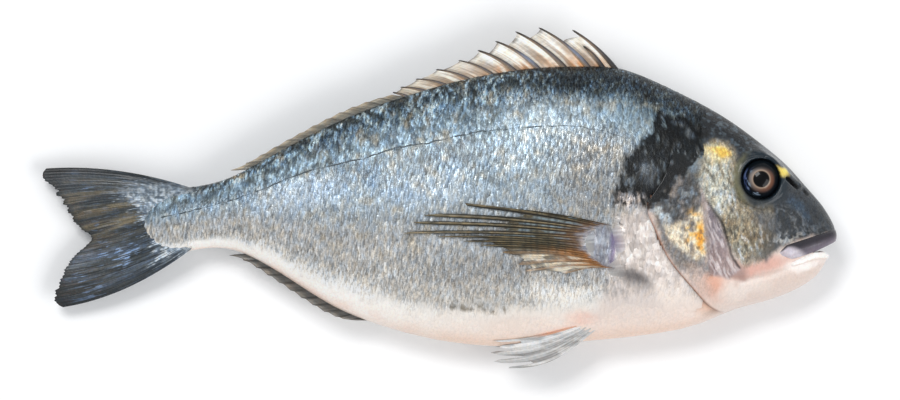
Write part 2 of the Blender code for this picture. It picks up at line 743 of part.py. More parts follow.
def main():
    """Builds the body, joins its fins and lips, cuts mouth and sockets, and sets the eyes."""
    clear_scene()
    fish_parts = collection("sea_bream")
    skin = material("fish_skin", SKIN_GREY, 0.35, 0.3)
    fin = material("fin_web", FIN_BROWN, 0.45)
    eye = material("eye_dark", EYE_DARK, 0.08)

    fish = body_blank(skin)
    fish_parts.objects.link(fish)
    joined = [dorsal_spine(i, fin) for i in range(len(DORSAL_SPINES))]
    joined += [
        dorsal_membrane(fin),
        folded_fin(
            "soft_dorsal", SOFT_DORSAL_SPAN, SOFT_DORSAL_HEIGHTS, SOFT_DORSAL_RAYS,
            lambda x: outline_at(x)[0], 1, fin,
        ),
        folded_fin(
            "anal_fin", ANAL_SPAN, ANAL_HEIGHTS, ANAL_RAYS, lambda x: outline_at(x)[1], -1, fin
        ),
        tail_fin(fin),
        pectoral_fin("pectoral_right", 1, fin),
        pectoral_fin("pectoral_left", -1, fin),
        pelvic_fin("pelvic_right", PELVIC_HEIGHTS[0], 0.0, fin),
        pelvic_fin("pelvic_left", PELVIC_HEIGHTS[1], LEFT_PELVIC_TURN, fin),
        lip("upper_lip", UPPER_LIP_LINE, UPPER_LIP_RADIUS, skin),
        lip("lower_lip", LOWER_LIP_LINE, LOWER_LIP_RADIUS, skin),
    ]
    for side, word in ((1, "right"), (-1, "left")):
        joined.append(
            ball(f"maxilla_{word}", MAXILLA_PLACE, MAXILLA_RADII, MAXILLA_TURN, side,
                 MAXILLA_SUNK, skin, (12, 8))
        )
    combine(fish, joined, "UNION")

    socket_radii = tuple(r + SOCKET_GAP for r in EYE_RADII)
    eye_depth = EYE_RADII[2] - EYE_PROUD
    cut = [mouth_cutter(skin)]
    for side, word in ((1, "right"), (-1, "left")):
        cut.append(ball(f"socket_{word}", EYE_PLACE, socket_radii, 0.0, side, eye_depth, skin))
        cut.append(ball(f"orbit_{word}", EYE_PLACE, ORBIT_RADII, 0.0, side,
                        ORBIT_DEPTH - ORBIT_RADII[2], skin))
        cut.append(
            ball(f"nostril_{word}", NOSTRIL_PLACE, NOSTRIL_RADII, NOSTRIL_TURN, side, 0.0, skin,
                 (12, 8))
        )
    combine(fish, cut, "DIFFERENCE")
    shade(fish)

    for side, word in ((1, "right"), (-1, "left")):
        eyeball = ball(f"eye_{word}", EYE_PLACE, EYE_RADII, 0.0, side, eye_depth, eye, (24, 16))
        fish_parts.objects.link(eyeball)
        shade(eyeball)


main()
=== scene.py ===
"""A whole raw gilthead sea bream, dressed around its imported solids, for Blender 4.5.

The fish lies on its left flank: the snout points to +X, the back to +Y and the right flank up.
Lengths are in metres; sizes read off the fish are in millimetres and turned to metres by MM.
"""

from __future__ import annotations

import logging
import math
from dataclasses import dataclass, field
from enum import Enum

import bpy
import numpy as np
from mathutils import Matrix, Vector

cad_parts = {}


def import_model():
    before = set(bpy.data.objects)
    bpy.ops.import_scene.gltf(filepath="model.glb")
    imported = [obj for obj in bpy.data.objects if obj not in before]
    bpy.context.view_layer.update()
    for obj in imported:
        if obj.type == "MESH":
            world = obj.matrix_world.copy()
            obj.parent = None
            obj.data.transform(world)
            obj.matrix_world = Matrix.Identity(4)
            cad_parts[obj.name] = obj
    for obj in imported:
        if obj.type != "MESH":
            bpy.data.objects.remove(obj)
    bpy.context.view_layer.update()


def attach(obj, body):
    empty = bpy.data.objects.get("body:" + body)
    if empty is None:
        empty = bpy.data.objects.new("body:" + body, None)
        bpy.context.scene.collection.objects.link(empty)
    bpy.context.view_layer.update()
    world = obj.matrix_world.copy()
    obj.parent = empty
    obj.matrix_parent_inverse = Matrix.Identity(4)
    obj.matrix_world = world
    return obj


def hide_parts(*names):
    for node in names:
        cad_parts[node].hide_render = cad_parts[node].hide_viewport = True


LOG = logging.getLogger("sea_bream")
MM = 0.001
TINT = "tint"  # point colour that the finishes read
GRAIN = "grain"  # point value, how strongly a finish's fine pattern shows
PLATE = "plate"  # UV map that follows a scale or a fin ray
EYE_MIDDLE = (81.7, 12.2)  # in millimetres

Array = np.ndarray
Material = bpy.types.Material
Object = bpy.types.Object
NodeTree = bpy.types.NodeTree
NodeSocket = bpy.types.NodeSocket


class Side(Enum):
    """The two flanks of the fish: the right one lies up."""

    RIGHT = 1
    LEFT = -1


# General shape tools


def linear(code: str) -> Array:
    """Turns an sRGB hex colour into linear red, green and blue."""
    srgb = np.array([int(code[i : i + 2], 16) for i in (1, 3, 5)]) / 255
    return np.where(srgb <= 0.04045, srgb / 12.92, ((srgb + 0.055) / 1.055) ** 2.4)


def rise(low: float, high: float, value: Array) -> Array:
    """0 below low, 1 above high, with a smooth step between; it falls where low is the larger."""
    share = np.clip((value - low) / (high - low), 0.0, 1.0)
    return share * share * (3 - 2 * share)


def natural_spline(knots: Array, values: Array, at: Array) -> Array:
    """Reads the natural cubic spline through values at knots.

    Args:
        knots: places along the curve, rising.
        values: one number or one row of numbers per knot.
        at: places to read.

    Returns:
        The spline's values, one per place: cubic pieces whose second slopes match.
    """
    step = np.diff(knots)
    count = len(knots)
    system = np.eye(count)
    right = np.zeros(values.shape)
    inner = np.arange(1, count - 1)
    system[inner, inner - 1] = step[:-1]
    system[inner, inner] = 2 * (step[:-1] + step[1:])
    system[inner, inner + 1] = step[1:]
    slope = np.diff(values, axis=0) / (step if values.ndim == 1 else step[:, None])
    right[1:-1] = 6 * np.diff(slope, axis=0)
    bend = np.linalg.solve(system, right)
    i = np.clip(np.searchsorted(knots, at) - 1, 0, count - 2)
    h = step[i]
    a = (knots[i + 1] - at) / h
    if values.ndim > 1:
        h, a = h[..., None], a[..., None]
    b = 1 - a
    cubic = (a**3 - a) * bend[i] + (b**3 - b) * bend[i + 1]
    return a * values[i] + b * values[i + 1] + cubic * h**2 / 6


def curve(points: tuple, share: Array) -> Array:
    """Points at each share of the smooth curve through a chain given in millimetres."""
    chain = np.array(points, float) * MM
    steps = np.linalg.norm(np.diff(chain, axis=0), axis=1)
    chord = np.concatenate([[0.0], np.cumsum(steps)])
    return natural_spline(chord, chain, share * chord[-1])


def between(values: Array, share: Array) -> Array:
    """Reads rows of numbers, spread evenly over 0 to 1, by straight lines between them."""
    values = np.asarray(values, float)
    place = np.linspace(0, 1, len(values))
    if values.ndim == 1:
        return np.interp(share, place, values)
    return np.stack([np.interp(share, place, column) for column in values.T], axis=-1)


def cloud(points: Array, size: float, seed: int, layers: int = 2) -> Array:
    """Smooth random values from 0 to 1 in space.

    Each layer puts a random number on the corners of cubes, blends between the corners by a
    smooth step, and is half as large and half as strong as the one before.

    Args:
        points: places, one row each.
        size: edge of the largest cubes.
        seed: a whole number that picks the pattern.
        layers: how many sizes are added.

    Returns:
        One value per place.
    """
    total, weight = np.zeros(len(points)), 0.0
    for layer in range(layers):
        cell = points / (size / 2**layer)
        base = np.floor(cell).astype(np.int64)
        part = cell - base
        part = part * part * (3 - 2 * part)
        value = np.zeros(len(points))
        for corner in range(8):
            step = np.array([corner & 1, corner >> 1 & 1, corner >> 2 & 1])
            key = (base + step) @ np.array([73856093, 19349663, 83492791]) + seed * 7919 + layer
            key = (key ^ (key >> 13)) * 1274126177 & 0xFFFFFFFF
            key = (key ^ (key >> 15)) * 2246822519 & 0xFFFFFFFF
            share = np.where(step == 1, part, 1 - part).prod(axis=1)
            value += share * (key / 0xFFFFFFFF)
        total += value * 0.5**layer
        weight += 0.5**layer
    return total / weight


def line_distance(x: Array, y: Array, line: Array) -> tuple[Array, Array]:
    """Distance of each point from a chain of straight lines, and the share along it."""
    best, place = np.full(x.shape, np.inf), np.zeros(x.shape)
    count = len(line) - 1
    for i in range(count):
        start, run = line[i], line[i + 1] - line[i]
        share = ((x - start[0]) * run[0] + (y - start[1]) * run[1]) / (run @ run)
        share = np.clip(share, 0, 1)
        away = np.hypot(x - start[0] - share * run[0], y - start[1] - share * run[1])
        nearer = away < best
        best = np.where(nearer, away, best)
        place = np.where(nearer, (i + share) / count, place)
    return best, place


def patch(x: Array, y: Array, outline: tuple, soft: float, wobble: Array | float = 0.0) -> Array:
    """1 inside a closed outline in millimetres, 0 outside, fading over soft at its edge.

    Args:
        x, y: places in millimetres.
        outline: corners of the patch.
        soft: width of the fading edge.
        wobble: moves the edge in or out, in millimetres.

    Returns:
        The patch's strength at each place.
    """
    corners = np.array((*outline, outline[0]), float)
    away, _ = line_distance(x, y, corners)
    inside = np.zeros(x.shape, bool)
    for (x0, y0), (x1, y1) in zip(corners[:-1], corners[1:], strict=True):
        if y0 != y1:
            inside ^= ((y0 > y) != (y1 > y)) & (x < (x1 - x0) * (y - y0) / (y1 - y0) + x0)
    signed = np.where(inside, away, -away) + wobble
    return rise(-soft / 2, soft / 2, signed)


def spot(x: Array, y: Array, centre: tuple, radii: tuple, turn: float = 0.0) -> Array:
    """Elliptical distance from a spot's centre: 0 there and 1 on its edge."""
    angle = math.radians(turn)
    dx, dy = x - centre[0], y - centre[1]
    along = dx * math.cos(angle) + dy * math.sin(angle)
    across = dy * math.cos(angle) - dx * math.sin(angle)
    return np.hypot(along / radii[0], across / radii[1])


def quads(index: Array) -> Array:
    """Four-cornered faces over a grid of vertex numbers."""
    return np.stack(
        [index[:-1, :-1], index[1:, :-1], index[1:, 1:], index[:-1, 1:]], axis=-1
    ).reshape(-1, 4)


def grid_normals(grid: Array) -> Array:
    """Unit normals of a surface given as a grid of points, from the slopes along both ways."""
    normal = np.cross(np.gradient(grid, axis=0), np.gradient(grid, axis=1))
    return normal / np.maximum(np.linalg.norm(normal, axis=-1, keepdims=True), 1e-12)


def plate_mesh(upper: Array, lower: Array) -> tuple[Array, Array]:
    """Points and faces of a closed plate between two matching grids, joined round their rims."""
    rows, columns = upper.shape[:2]
    count = rows * columns
    index = np.arange(count).reshape(rows, columns)
    rim = np.concatenate([index[0], index[1:, -1], index[-1, -2::-1], index[-2:0:-1, 0]])
    after = np.roll(rim, -1)
    side = np.stack([rim, after, after + count, rim + count], axis=-1)
    faces = np.concatenate([quads(index), quads(index + count)[:, ::-1], side])
    return np.concatenate([upper.reshape(-1, 3), lower.reshape(-1, 3)]), faces


def put_piece(
    name: str,
    points: Array,
    faces: list[Array],
    finish: Material,
    tint: Array,
    grain: Array | None = None,
    plate: Array | None = None,
    closed: bool = True,
) -> Object:
    """Makes a mesh object from arrays, with smooth shading and the finish's attributes.

    Args:
        name: the piece's name.
        points: one row per vertex, in metres.
        faces: arrays of vertex numbers, one array for each number of corners.
        finish: its material.
        tint: linear colour per vertex.
        grain: strength of the fine pattern per vertex.
        plate: place on a scale or a fin ray per vertex, as two numbers.
        closed: turns the faces outwards by the sign of the enclosed volume.

    Returns:
        The new object, linked to the scene and riding on the body.
    """
    if closed:
        fan = np.concatenate([f[:, [0, k, k + 1]] for f in faces for k in range(1, f.shape[1] - 1)])
        a, b, c = points[fan[:, 0]], points[fan[:, 1]], points[fan[:, 2]]
        if np.einsum("ij,ij->", a, np.cross(b, c)) < 0:
            faces = [f[:, ::-1] for f in faces]
    loops = np.concatenate([f.ravel() for f in faces]).astype(np.int32)
    sizes = np.concatenate([np.full(len(f), f.shape[1]) for f in faces])
    starts = np.concatenate([[0], np.cumsum(sizes)[:-1]]).astype(np.int32)
    mesh = bpy.data.meshes.new(name)
    mesh.vertices.add(len(points))
    mesh.vertices.foreach_set("co", points.astype(np.float32).ravel())
    mesh.loops.add(len(loops))
    mesh.loops.foreach_set("vertex_index", loops)
    mesh.polygons.add(len(sizes))
    mesh.polygons.foreach_set("loop_start", starts)
    mesh.update(calc_edges=True)
    mesh.polygons.foreach_set("use_smooth", np.ones(len(sizes), bool))
    colour = mesh.color_attributes.new(TINT, "FLOAT_COLOR", "POINT")
    rgba = np.concatenate([np.broadcast_to(tint, (len(points), 3)), np.ones((len(points), 1))], 1)
    colour.data.foreach_set("color", rgba.astype(np.float32).ravel())
    if grain is not None:
        value = mesh.attributes.new(GRAIN, "FLOAT", "POINT")
        value.data.foreach_set("value", np.broadcast_to(grain, len(points)).astype(np.float32))
    if plate is not None:
        layer = mesh.uv_layers.new(name=PLATE)
        layer.data.foreach_set("uv", plate[loops].astype(np.float32).ravel())
    mesh.materials.append(finish)
    made = bpy.data.objects.new(name, mesh)
    bpy.context.scene.collection.objects.link(made)
    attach(made, "root")
    LOG.info("%s: %d points, %d faces", name, len(points), len(sizes))
    return made


def put_plate(
    name: str, upper: Array, lower: Array, finish: Material, tint: Array, grain: float,
    plate: Array | None = None,
) -> Object:
    """Makes a closed plate between two grids, with the same colours on both of its faces.

    Args:
        name: the piece's name.
        upper, lower: matching grids of points, in metres.
        finish: its material.
        tint: linear colour of each grid point.
        grain: strength of the fine pattern, all over.
        plate: place of each grid point on a scale or a fin ray, as two numbers.

    Returns:
        The new object.
    """
    points, faces = plate_mesh(upper, lower)
    if plate is not None:
        plate = np.concatenate([plate.reshape(-1, 2)] * 2)
    both = np.concatenate([tint.reshape(-1, 3)] * 2)
    return put_piece(name, points, [faces], finish, both, np.array(grain), plate)


# The body's form


@dataclass
class BodyForm:
    """The smooth body: oval sections strung from the snout to the tail's root.

    Each section has a back and a belly height and a half thickness. Its depth share t is 1 on
    the back, 0 where it is widest and -1 on the belly; its half width there is the half
    thickness times (1 - t^p)^r. The middle plane is level and sags to the tail.
    """

    # place, back, belly and half thickness, in millimetres
    sections: tuple = (
        (111.5, -10.5, -10.5, 0.0),
        (110.8, -6.4, -14.2, 3.3),
        (108.4, -1.6, -18.3, 5.7),
        (105.3, 2.9, -23.7, 7.4),
        (99.1, 10.0, -29.0, 9.8),
        (92.8, 17.0, -32.2, 11.8),
        (83.5, 25.0, -35.5, 14.2),
        (71.0, 34.3, -39.0, 16.6),
        (58.5, 41.7, -44.2, 18.5),
        (42.9, 49.3, -47.8, 19.5),
        (27.3, 55.2, -49.8, 20.0),
        (11.7, 56.2, -51.2, 20.0),
        (-3.9, 55.7, -52.4, 19.5),
        (-19.5, 53.8, -53.0, 18.7),
        (-35.1, 50.7, -51.9, 17.5),
        (-50.7, 46.4, -49.2, 15.9),
        (-66.3, 41.2, -44.8, 14.0),
        (-81.9, 35.0, -38.8, 11.9),
        (-97.5, 27.4, -29.6, 9.7),
        (-113.1, 18.9, -20.0, 7.7),
        (-128.7, 11.4, -14.6, 6.0),
        (-140.4, 9.0, -15.8, 4.9),
        (-148.2, 7.8, -17.0, 3.9),
        (-154.0, 5.2, -15.2, 2.7),
        (-158.0, 0.6, -10.6, 1.3),
        (-159.5, -4.8, -4.8, 0.0),
    )
    # rear edge of the gill cover and its seam with the nape, in millimetres
    gill_edge: tuple = (
        (67.5, -39.4),
        (63.2, -37.4),
        (58.9, -34.0),
        (53.8, -28.5),
        (48.9, -23.0),
        (45.2, -18.0),
        (42.2, -12.1),
        (39.6, -6.2),
        (37.4, 1.6),
        (40.4, 7.4),
        (43.7, 12.6),
        (46.0, 17.9),
        (48.8, 24.0),
        (53.0, 32.0),
        (58.0, 42.0),
    )
    middle: float = 18.0 * MM
    droop: float = 11.0 * MM
    droop_from: float = -60.0 * MM
    tail_tip: float = -198.0 * MM
    widest: tuple = (0.48, 0.40)
    back_fullness: tuple = (2.2, 0.64)
    belly_fullness: tuple = (2.4, 0.58)
    gill_rear: float = 37.4 * MM
    rest_rounding: float = 0.5 * MM
    eye: tuple = (EYE_MIDDLE[0] * MM, EYE_MIDDLE[1] * MM)
    pad_full: float = 8.0 * MM
    pad_end: float = 15.0 * MM
    pad_tilt: float = 0.12
    outline: Array = field(init=False, repr=False)
    depth_table: Array = field(init=False, repr=False)
    girth_table: Array = field(init=False, repr=False)
    table_x: Array = field(init=False, repr=False)
    chord: Array = field(init=False, repr=False)
    eye_slope: tuple = field(init=False, repr=False)
    eye_half: float = field(init=False, repr=False)

    def __post_init__(self) -> None:
        """Works out the dense outline and the table from girth shares to depth shares."""
        table = np.array(self.sections) * MM
        steps = np.linalg.norm(np.diff(table, axis=0), axis=1)
        chord = np.concatenate([[0.0], np.cumsum(steps)])
        dense = natural_spline(chord, table, np.linspace(0, chord[-1], 2000))
        dense[:, 0] = np.minimum.accumulate(dense[:, 0])
        self.chord = np.linspace(0, chord[-1], 2000)
        self.outline = dense[::-1]
        self.table_x = np.linspace(table[-1, 0] + 0.1 * MM, table[0, 0] - 0.1 * MM, 500)
        t = np.cos(np.linspace(0, math.pi, 301))[None, :]
        x = self.table_x[:, None]
        y = self.level(x, t)
        run = np.hypot(np.diff(y, axis=1), np.diff(self.half_width(x, t), axis=1))
        walked = np.concatenate([np.zeros((len(x), 1)), np.cumsum(run, axis=1)], axis=1)
        self.girth_table = walked[:, -1]
        q = np.linspace(0, 1, 241)
        self.depth_table = np.stack([np.interp(q, w / w[-1], t[0]) for w in walked])
        centre = self.plain_half(*self.eye)
        step = 0.5 * MM
        self.eye_slope = (
            float(self.plain_half(self.eye[0] + step, self.eye[1]) - centre) / step,
            float(self.plain_half(self.eye[0], self.eye[1] + step) - centre) / step,
        )
        self.eye_half = float(centre)

    def edges(self, x: Array) -> tuple[Array, Array, Array]:
        """Back height, belly height and half thickness at x."""
        place = self.outline[:, 0]
        back, belly, half = (np.interp(x, place, self.outline[:, k]) for k in (1, 2, 3))
        return back, belly, np.maximum(half, 0.0)

    def mid(self, x: Array) -> Array:
        """Height of the middle plane: level, then falling with the square of the way back."""
        share = np.clip((self.droop_from - x) / (self.droop_from - self.tail_tip), 0, None)
        return self.middle - self.droop * share**2

    def level(self, x: Array, t: Array) -> Array:
        """Height y at depth share t."""
        back, belly, _ = self.edges(x)
        nose = rise(40 * MM, 111.5 * MM, x)
        low, high = self.widest
        widest = belly + (back - belly) * (low + (high - low) * nose)
        return widest + np.where(t > 0, back - widest, widest - belly) * t

    def depth_share(self, x: Array, y: Array) -> Array:
        """The depth share t at height y."""
        widest = self.level(x, np.zeros_like(x))
        top, low = self.level(x, np.ones_like(x)), self.level(x, -np.ones_like(x))
        reach = np.maximum(np.where(y > widest, top - widest, widest - low), 1e-6)
        return (y - widest) / reach

    def half_width(self, x: Array, t: Array) -> Array:
        """Half thickness at x and depth share t."""
        share = np.clip(np.abs(t), 0.0, 1.0)
        upper = np.clip(1 - share ** self.back_fullness[0], 0, 1) ** self.back_fullness[1]
        lower = np.clip(1 - share ** self.belly_fullness[0], 0, 1) ** self.belly_fullness[1]
        return self.edges(x)[2] * np.where(t > 0, upper, lower)

    def plain_half(self, x: Array, y: Array) -> Array:
        """Half thickness at (x, y), without the raised surround of the eye."""
        x, y = np.asarray(x, float), np.asarray(y, float)
        return self.half_width(x, self.depth_share(x, y))

    def eye_pad(self, x: Array, y: Array) -> Array:
        """How far the cheek near the eye is raised or lowered to be nearly level there."""
        dx, dy = x - self.eye[0], y - self.eye[1]
        level = self.eye_half + self.pad_tilt * (self.eye_slope[0] * dx + self.eye_slope[1] * dy)
        weight = 1 - rise(self.pad_full, self.pad_end, np.hypot(dx, dy))
        inner = rise(0.0, 3.0 * MM, self.edges(x)[0] - y)
        return weight * inner * (level - self.plain_half(x, y))

    def half(self, x: Array, y: Array) -> Array:
        """Half thickness of the finished body at (x, y)."""
        return self.plain_half(x, y) + self.eye_pad(x, y)

    def flank(self, x: Array, y: Array, side: Side) -> Array:
        """Height z of the skin over the table at (x, y)."""
        return self.mid(x) + side.value * self.half(x, y)

    def girth(self, x: Array) -> Array:
        """Length of one flank's skin from back to belly at x."""
        return np.interp(x, self.table_x, self.girth_table)

    def depth_at(self, x: Array, q: Array) -> Array:
        """Depth share t at girth share q, which is 0 on the back and 1 on the belly."""
        rows, columns = self.depth_table.shape
        i = np.clip((x - self.table_x[0]) / (self.table_x[1] - self.table_x[0]), 0, rows - 1.001)
        j = np.clip(q * (columns - 1), 0, columns - 1.001)
        i0, j0 = i.astype(int), j.astype(int)
        a, b = i - i0, j - j0
        table = self.depth_table
        near = table[i0, j0] * (1 - b) + table[i0, j0 + 1] * b
        far = table[i0 + 1, j0] * (1 - b) + table[i0 + 1, j0 + 1] * b
        return near * (1 - a) + far * a

    def gill_x(self, t: Array) -> Array:
        """x of the gill cover's edge at depth share t, found by closing in on it."""
        edge = np.array(self.gill_edge) * MM
        x = np.full(t.shape, 45.0 * MM)
        for _ in range(14):
            y = np.clip(self.level(x, t), edge[0, 1], edge[-1, 1])
            x = 0.5 * x + 0.5 * natural_spline(edge[:, 1], edge[:, 0], y)
        return x

    def settle(self, z: Array, floor: float = 0.0) -> Array:
        """Flattens what would sink into the table, rounding over at the flat's edge."""
        r = self.rest_rounding
        low = z - floor
        return floor + np.where(low > r, low, np.where(low < -r, 0.0, (low + r) ** 2 / (4 * r)))


# The fish's colours


class Paint:
    """A tint and a strength of fine pattern for every place, laid on coat by coat."""

    def __init__(self, code: str, shape: tuple, grain: float = 0.0) -> None:
        """Starts with one colour and one strength of pattern all over."""
        self.tint = np.broadcast_to(linear(code), (*shape, 3)).copy()
        self.grain = np.full(shape, grain)

    def lay(self, code: str, strength: Array, grain: float | None = None) -> None:
        """Blends a colour over what is there, and its strength of pattern where one is given."""
        share = np.clip(np.broadcast_to(strength, self.grain.shape), 0, 1)
        self.tint += (linear(code) - self.tint) * share[..., None]
        if grain is not None:
            self.grain += (grain - self.grain) * share

    def dab(
        self, x: Array, y: Array, code: str, strength: Array | float, centre: tuple, radii: tuple,
        turn: float = 0.0, fade: tuple = (0.3, 1.2), grain: float | None = None,
    ) -> None:
        """Lays an oval spot that fades out between two shares of its radii.

        Args:
            x, y: places in millimetres.
            code: the spot's colour.
            strength: how strongly it covers in its middle.
            centre, radii, turn: the oval, turned by an angle in degrees.
            fade: shares of the radii where it starts to fade and where it is gone.
            grain: its strength of pattern, where it has one of its own.
        """
        self.lay(code, strength * (1 - rise(*fade, spot(x, y, centre, radii, turn))), grain)


@dataclass(frozen=True)
class FishColours:
    """Where each colour of the skin lies: the gradient over the flanks and the head's patches.

    Places and sizes are in millimetres. Every coat is blended over what lies under it, and the
    edges of the patches wander because they are read at places that random noise has moved.
    """

    # share of the body's depth from belly to back, and colour
    flank: tuple = (
        (0.00, "#efd8ca"),
        (0.05, "#f7eee6"),
        (0.12, "#f4f1ec"),
        (0.17, "#d8d6d1"),
        (0.23, "#aaa9a6"),
        (0.40, "#a0a3a5"),
        (0.56, "#96a2aa"),
        (0.72, "#8f9ea7"),
        (0.83, "#7f9098"),
        (0.89, "#5f6f77"),
        (0.94, "#39454b"),
        (1.00, "#2a3337"),
    )
    # patches of the head in its order of coats
    dark_head: tuple = ((36, 60), (36, 8), (52, 2), (60, -4), (73, -16), (84, -20), (89, -14),
                        (112, -8), (116, 0), (112, 60))
    cover: tuple = ((36, 6), (46, 20), (56, 24), (61, 14), (61, -8), (64, -25), (54, -27),
                    (43, -14))
    cover_shade: tuple = ((34, 2), (36, 12), (42, 24), (54, 30), (58, 22), (58.5, 12), (58.5, 3),
                          (55, -4), (48, -4.5), (42, 1))
    gold_field: tuple = ((43, -5), (47, -7), (51, -5), (55, -2.5), (59.5, 2), (60.3, -5),
                         (59.5, -19), (54.5, -18), (50, -14), (45.5, -10))
    cheek: tuple = ((57.5, 24), (63, 28), (71, 25), (73, 17), (74, 8), (80, 3), (86, 1.5),
                    (87, -4), (85, -12), (87, -16), (83, -20), (75, -22), (70, -17), (66, -6),
                    (60, 4), (57.0, 14))
    band: tuple = ((58.8, 6), (60.8, 3.5), (66, -6.5), (70, -19), (72.6, -22.5), (69, -26),
                   (62, -25), (60, -8))
    blotch: tuple = ((31.5, 23.5), (37.5, 27.6), (41.6, 37), (52, 38), (60, 31), (59, 23), (50, 12),
                     (44, 4), (37, 1.5), (33.6, 1.3), (24.5, 3.2), (25.2, 10.6), (28.7, 17.7))
    breast: tuple = ((26, -2), (38, 1), (42, -10), (55, -29), (70, -40), (58, -46), (35, -55),
                     (12, -55), (15, -42), (19, -34), (24, -25))

    @staticmethod
    def moved(place: Array, size: float, reach: float, seed: int) -> tuple[Array, Array]:
        """Places x and y, in millimetres, moved at random by about reach."""
        return tuple(
            place[:, k] + reach * 4 * (cloud(place, size, seed + k, 3) - 0.5) for k in (0, 1))

    def trunk(self, form: BodyForm, x: Array, y: Array, z: Array) -> Paint:
        """Colours of the scaled body at each place, in metres."""
        back, belly, _ = form.edges(x)
        share = np.clip((y - belly) / np.maximum(back - belly, 1e-6), 0, 1)
        place = np.stack([x, y, z], axis=-1) / MM
        haze, fine = cloud(place, 18.0, 3), cloud(place * [1.6, 0.7, 1.0], 4.5, 5)
        level = np.clip(share + 0.04 * (haze - 0.5) + 0.09 * (fine - 0.5), 0, 1)
        stops = np.array([s for s, _ in self.flank])
        palette = np.array([linear(c) for _, c in self.flank])
        paint = Paint("#000000", share.shape, 0.75)
        paint.tint = np.stack([np.interp(level, stops, palette[:, k]) for k in range(3)], axis=-1)
        mx, my = self.moved(place, 7.0, 1.3, 11)
        upper = rise(0.48, 0.66, share) * (1 - rise(0.88, 0.96, share))
        tail = 1 - rise(-80, 0, mx)
        paint.lay("#7da4cc", 0.6 * upper * tail * rise(0.42, 0.68, fine))
        paint.lay("#9cb6cb", 0.30 * upper * rise(0.40, 0.70, haze))
        # painted highlight: a pale band along the upper flank where the lamp above is mirrored
        paint.dab(mx, my, "#bccad2", 0.68, (-5, 37.5), (26, 9.5), -2, (0.4, 1.2))
        paint.lay("#6f7c84", 0.50 * upper * rise(0.50, 0.75, cloud(place, 6.0, 9)))
        paint.lay("#5f6e77", 0.62 * rise(0.58, 0.72, share) * (1 - rise(0.9, 0.95, share)) * (
            1 - rise(-32, -6, mx)))
        paint.dab(mx, my, "#c6d0d8", 0.25, (-50, 8), (22, 11))
        paint.lay("#c4c1bc", 0.35 * (1 - rise(-62, -40, mx)) * rise(0.12, 0.2, share) * (
            1 - rise(0.34, 0.5, share)))
        paint.lay("#b3a68c", 0.40 * rise(0.52, 0.78, cloud(place, 3.4, 8)) * rise(0.2, 0.4, share))
        for coat in (
                ("#b4c0cb", 0.50, (-97, 6), (24, 8), 12, (0.4, 1.2)),
                ("#8a8783", 0.62, (20, 14), (21, 20), -20, (0.5, 1.2), 0.9),
                ("#8f8d8a", 0.45, (-24, -24), (28, 9))):
            paint.dab(mx, my, *coat)
        low = 1 - rise(0.12, 0.24, share + 0.07 * (fine - 0.5))
        paint.lay("#e4ddd3", 0.6 * low * rise(-90, -20, mx), 0.08)
        paint.dab(mx, my, "#aba8a3", 0.66, (-36, -32.5), (34, 7), -4, (0.6, 1.2), 0.7)
        paint.dab(mx, my, "#dccabd", 0.45, (-12, -45), (16, 5), 0, (0.4, 1.2))
        paint.dab(x / MM, y / MM, "#625a48", 0.85 * rise(0.50, 0.60, cloud(place, 1.5, 83)), (-26,
            -38.2), (20, 1.9), -3, (0.6, 1.2), 0.4)
        breast = patch(mx, my, self.breast, 8.0)
        paint.lay("#d9cdc6", 0.95 * breast, 0.35)
        paint.dab(mx, my, "#efe2d8", 0.8, (50, -36), (16, 7), -35, (0.4, 1.2))
        paint.lay("#f1dccf", 0.75 * (1 - rise(0.03, 0.16, share)) * rise(-75, -10, mx), 0.05)
        paint.lay("#e7b795", 0.4 * (1 - rise(0.0, 0.06, share)) * rise(-70, -30, mx))
        paint.dab(mx, my, "#e9bfae", 0.7, (12, -42.5), (9, 4), -8, (0.3, 1.1), 0.15)
        paint.dab(mx, my, "#e6e1da", 0.60, (3, -32.5), (13, 4.5), -8)
        breast = breast * rise(0.15, 0.27, share)
        turn = np.arctan2(y / MM + 17, x / MM - 22)
        rays = cloud(np.stack([turn * 26, 0.2 * mx, 0 * x], axis=-1), 1.0, 17)
        paint.lay("#f6efe9", 0.6 * breast * rise(0.48, 0.64, rays))
        paint.lay("#a39992", 0.4 * breast * (1 - rise(0.34, 0.48, rays)))
        paint.dab(mx, my, "#8f8a88", 0.6 * rise(0.50, 0.62, rays), (24, -29), (12, 6), -20, (0.5,
            1.3))
        # painted shade in the armpit below the breast fin's root
        paint.dab(mx, my, "#4b484a", 0.85, (32.5, -26), (9.0, 4.6), -38, (0.2, 1.2))
        self.lay_fin_lobe(paint, mx, my)
        paint.lay("#262d32", 0.97 * rise(0.875, 0.935, share) * rise(-30, 12, mx), 1.0)
        lean = np.stack([mx - 0.35 * my, 0.45 * my, 0.6 * z / MM], axis=-1)
        glint = rise(0.50, 0.66, cloud(lean, 1.25, 77))
        paint.lay("#a9c2d2", (0.8 - 0.70 * rise(-30, 12, mx)) * glint * rise(0.70, 0.82, share))
        paint.lay("#333c3f", 0.6 * rise(0.50, 0.64, cloud(lean, 1.6, 79)) * (
            rise(0.62, 0.74, share - 0.16 * rise(-40, -5, mx))) * (1 - rise(20, 34, mx)))
        paint.lay("#33393c", rise(54, 62, mx + 0.30 * my - 8), 1.1)
        paint.lay("#22282c", 0.8 * rise(0.90, 0.97, share) * (1 - rise(-136, -128, mx)))
        self.lay_blotch(paint, mx, my, place)
        return paint

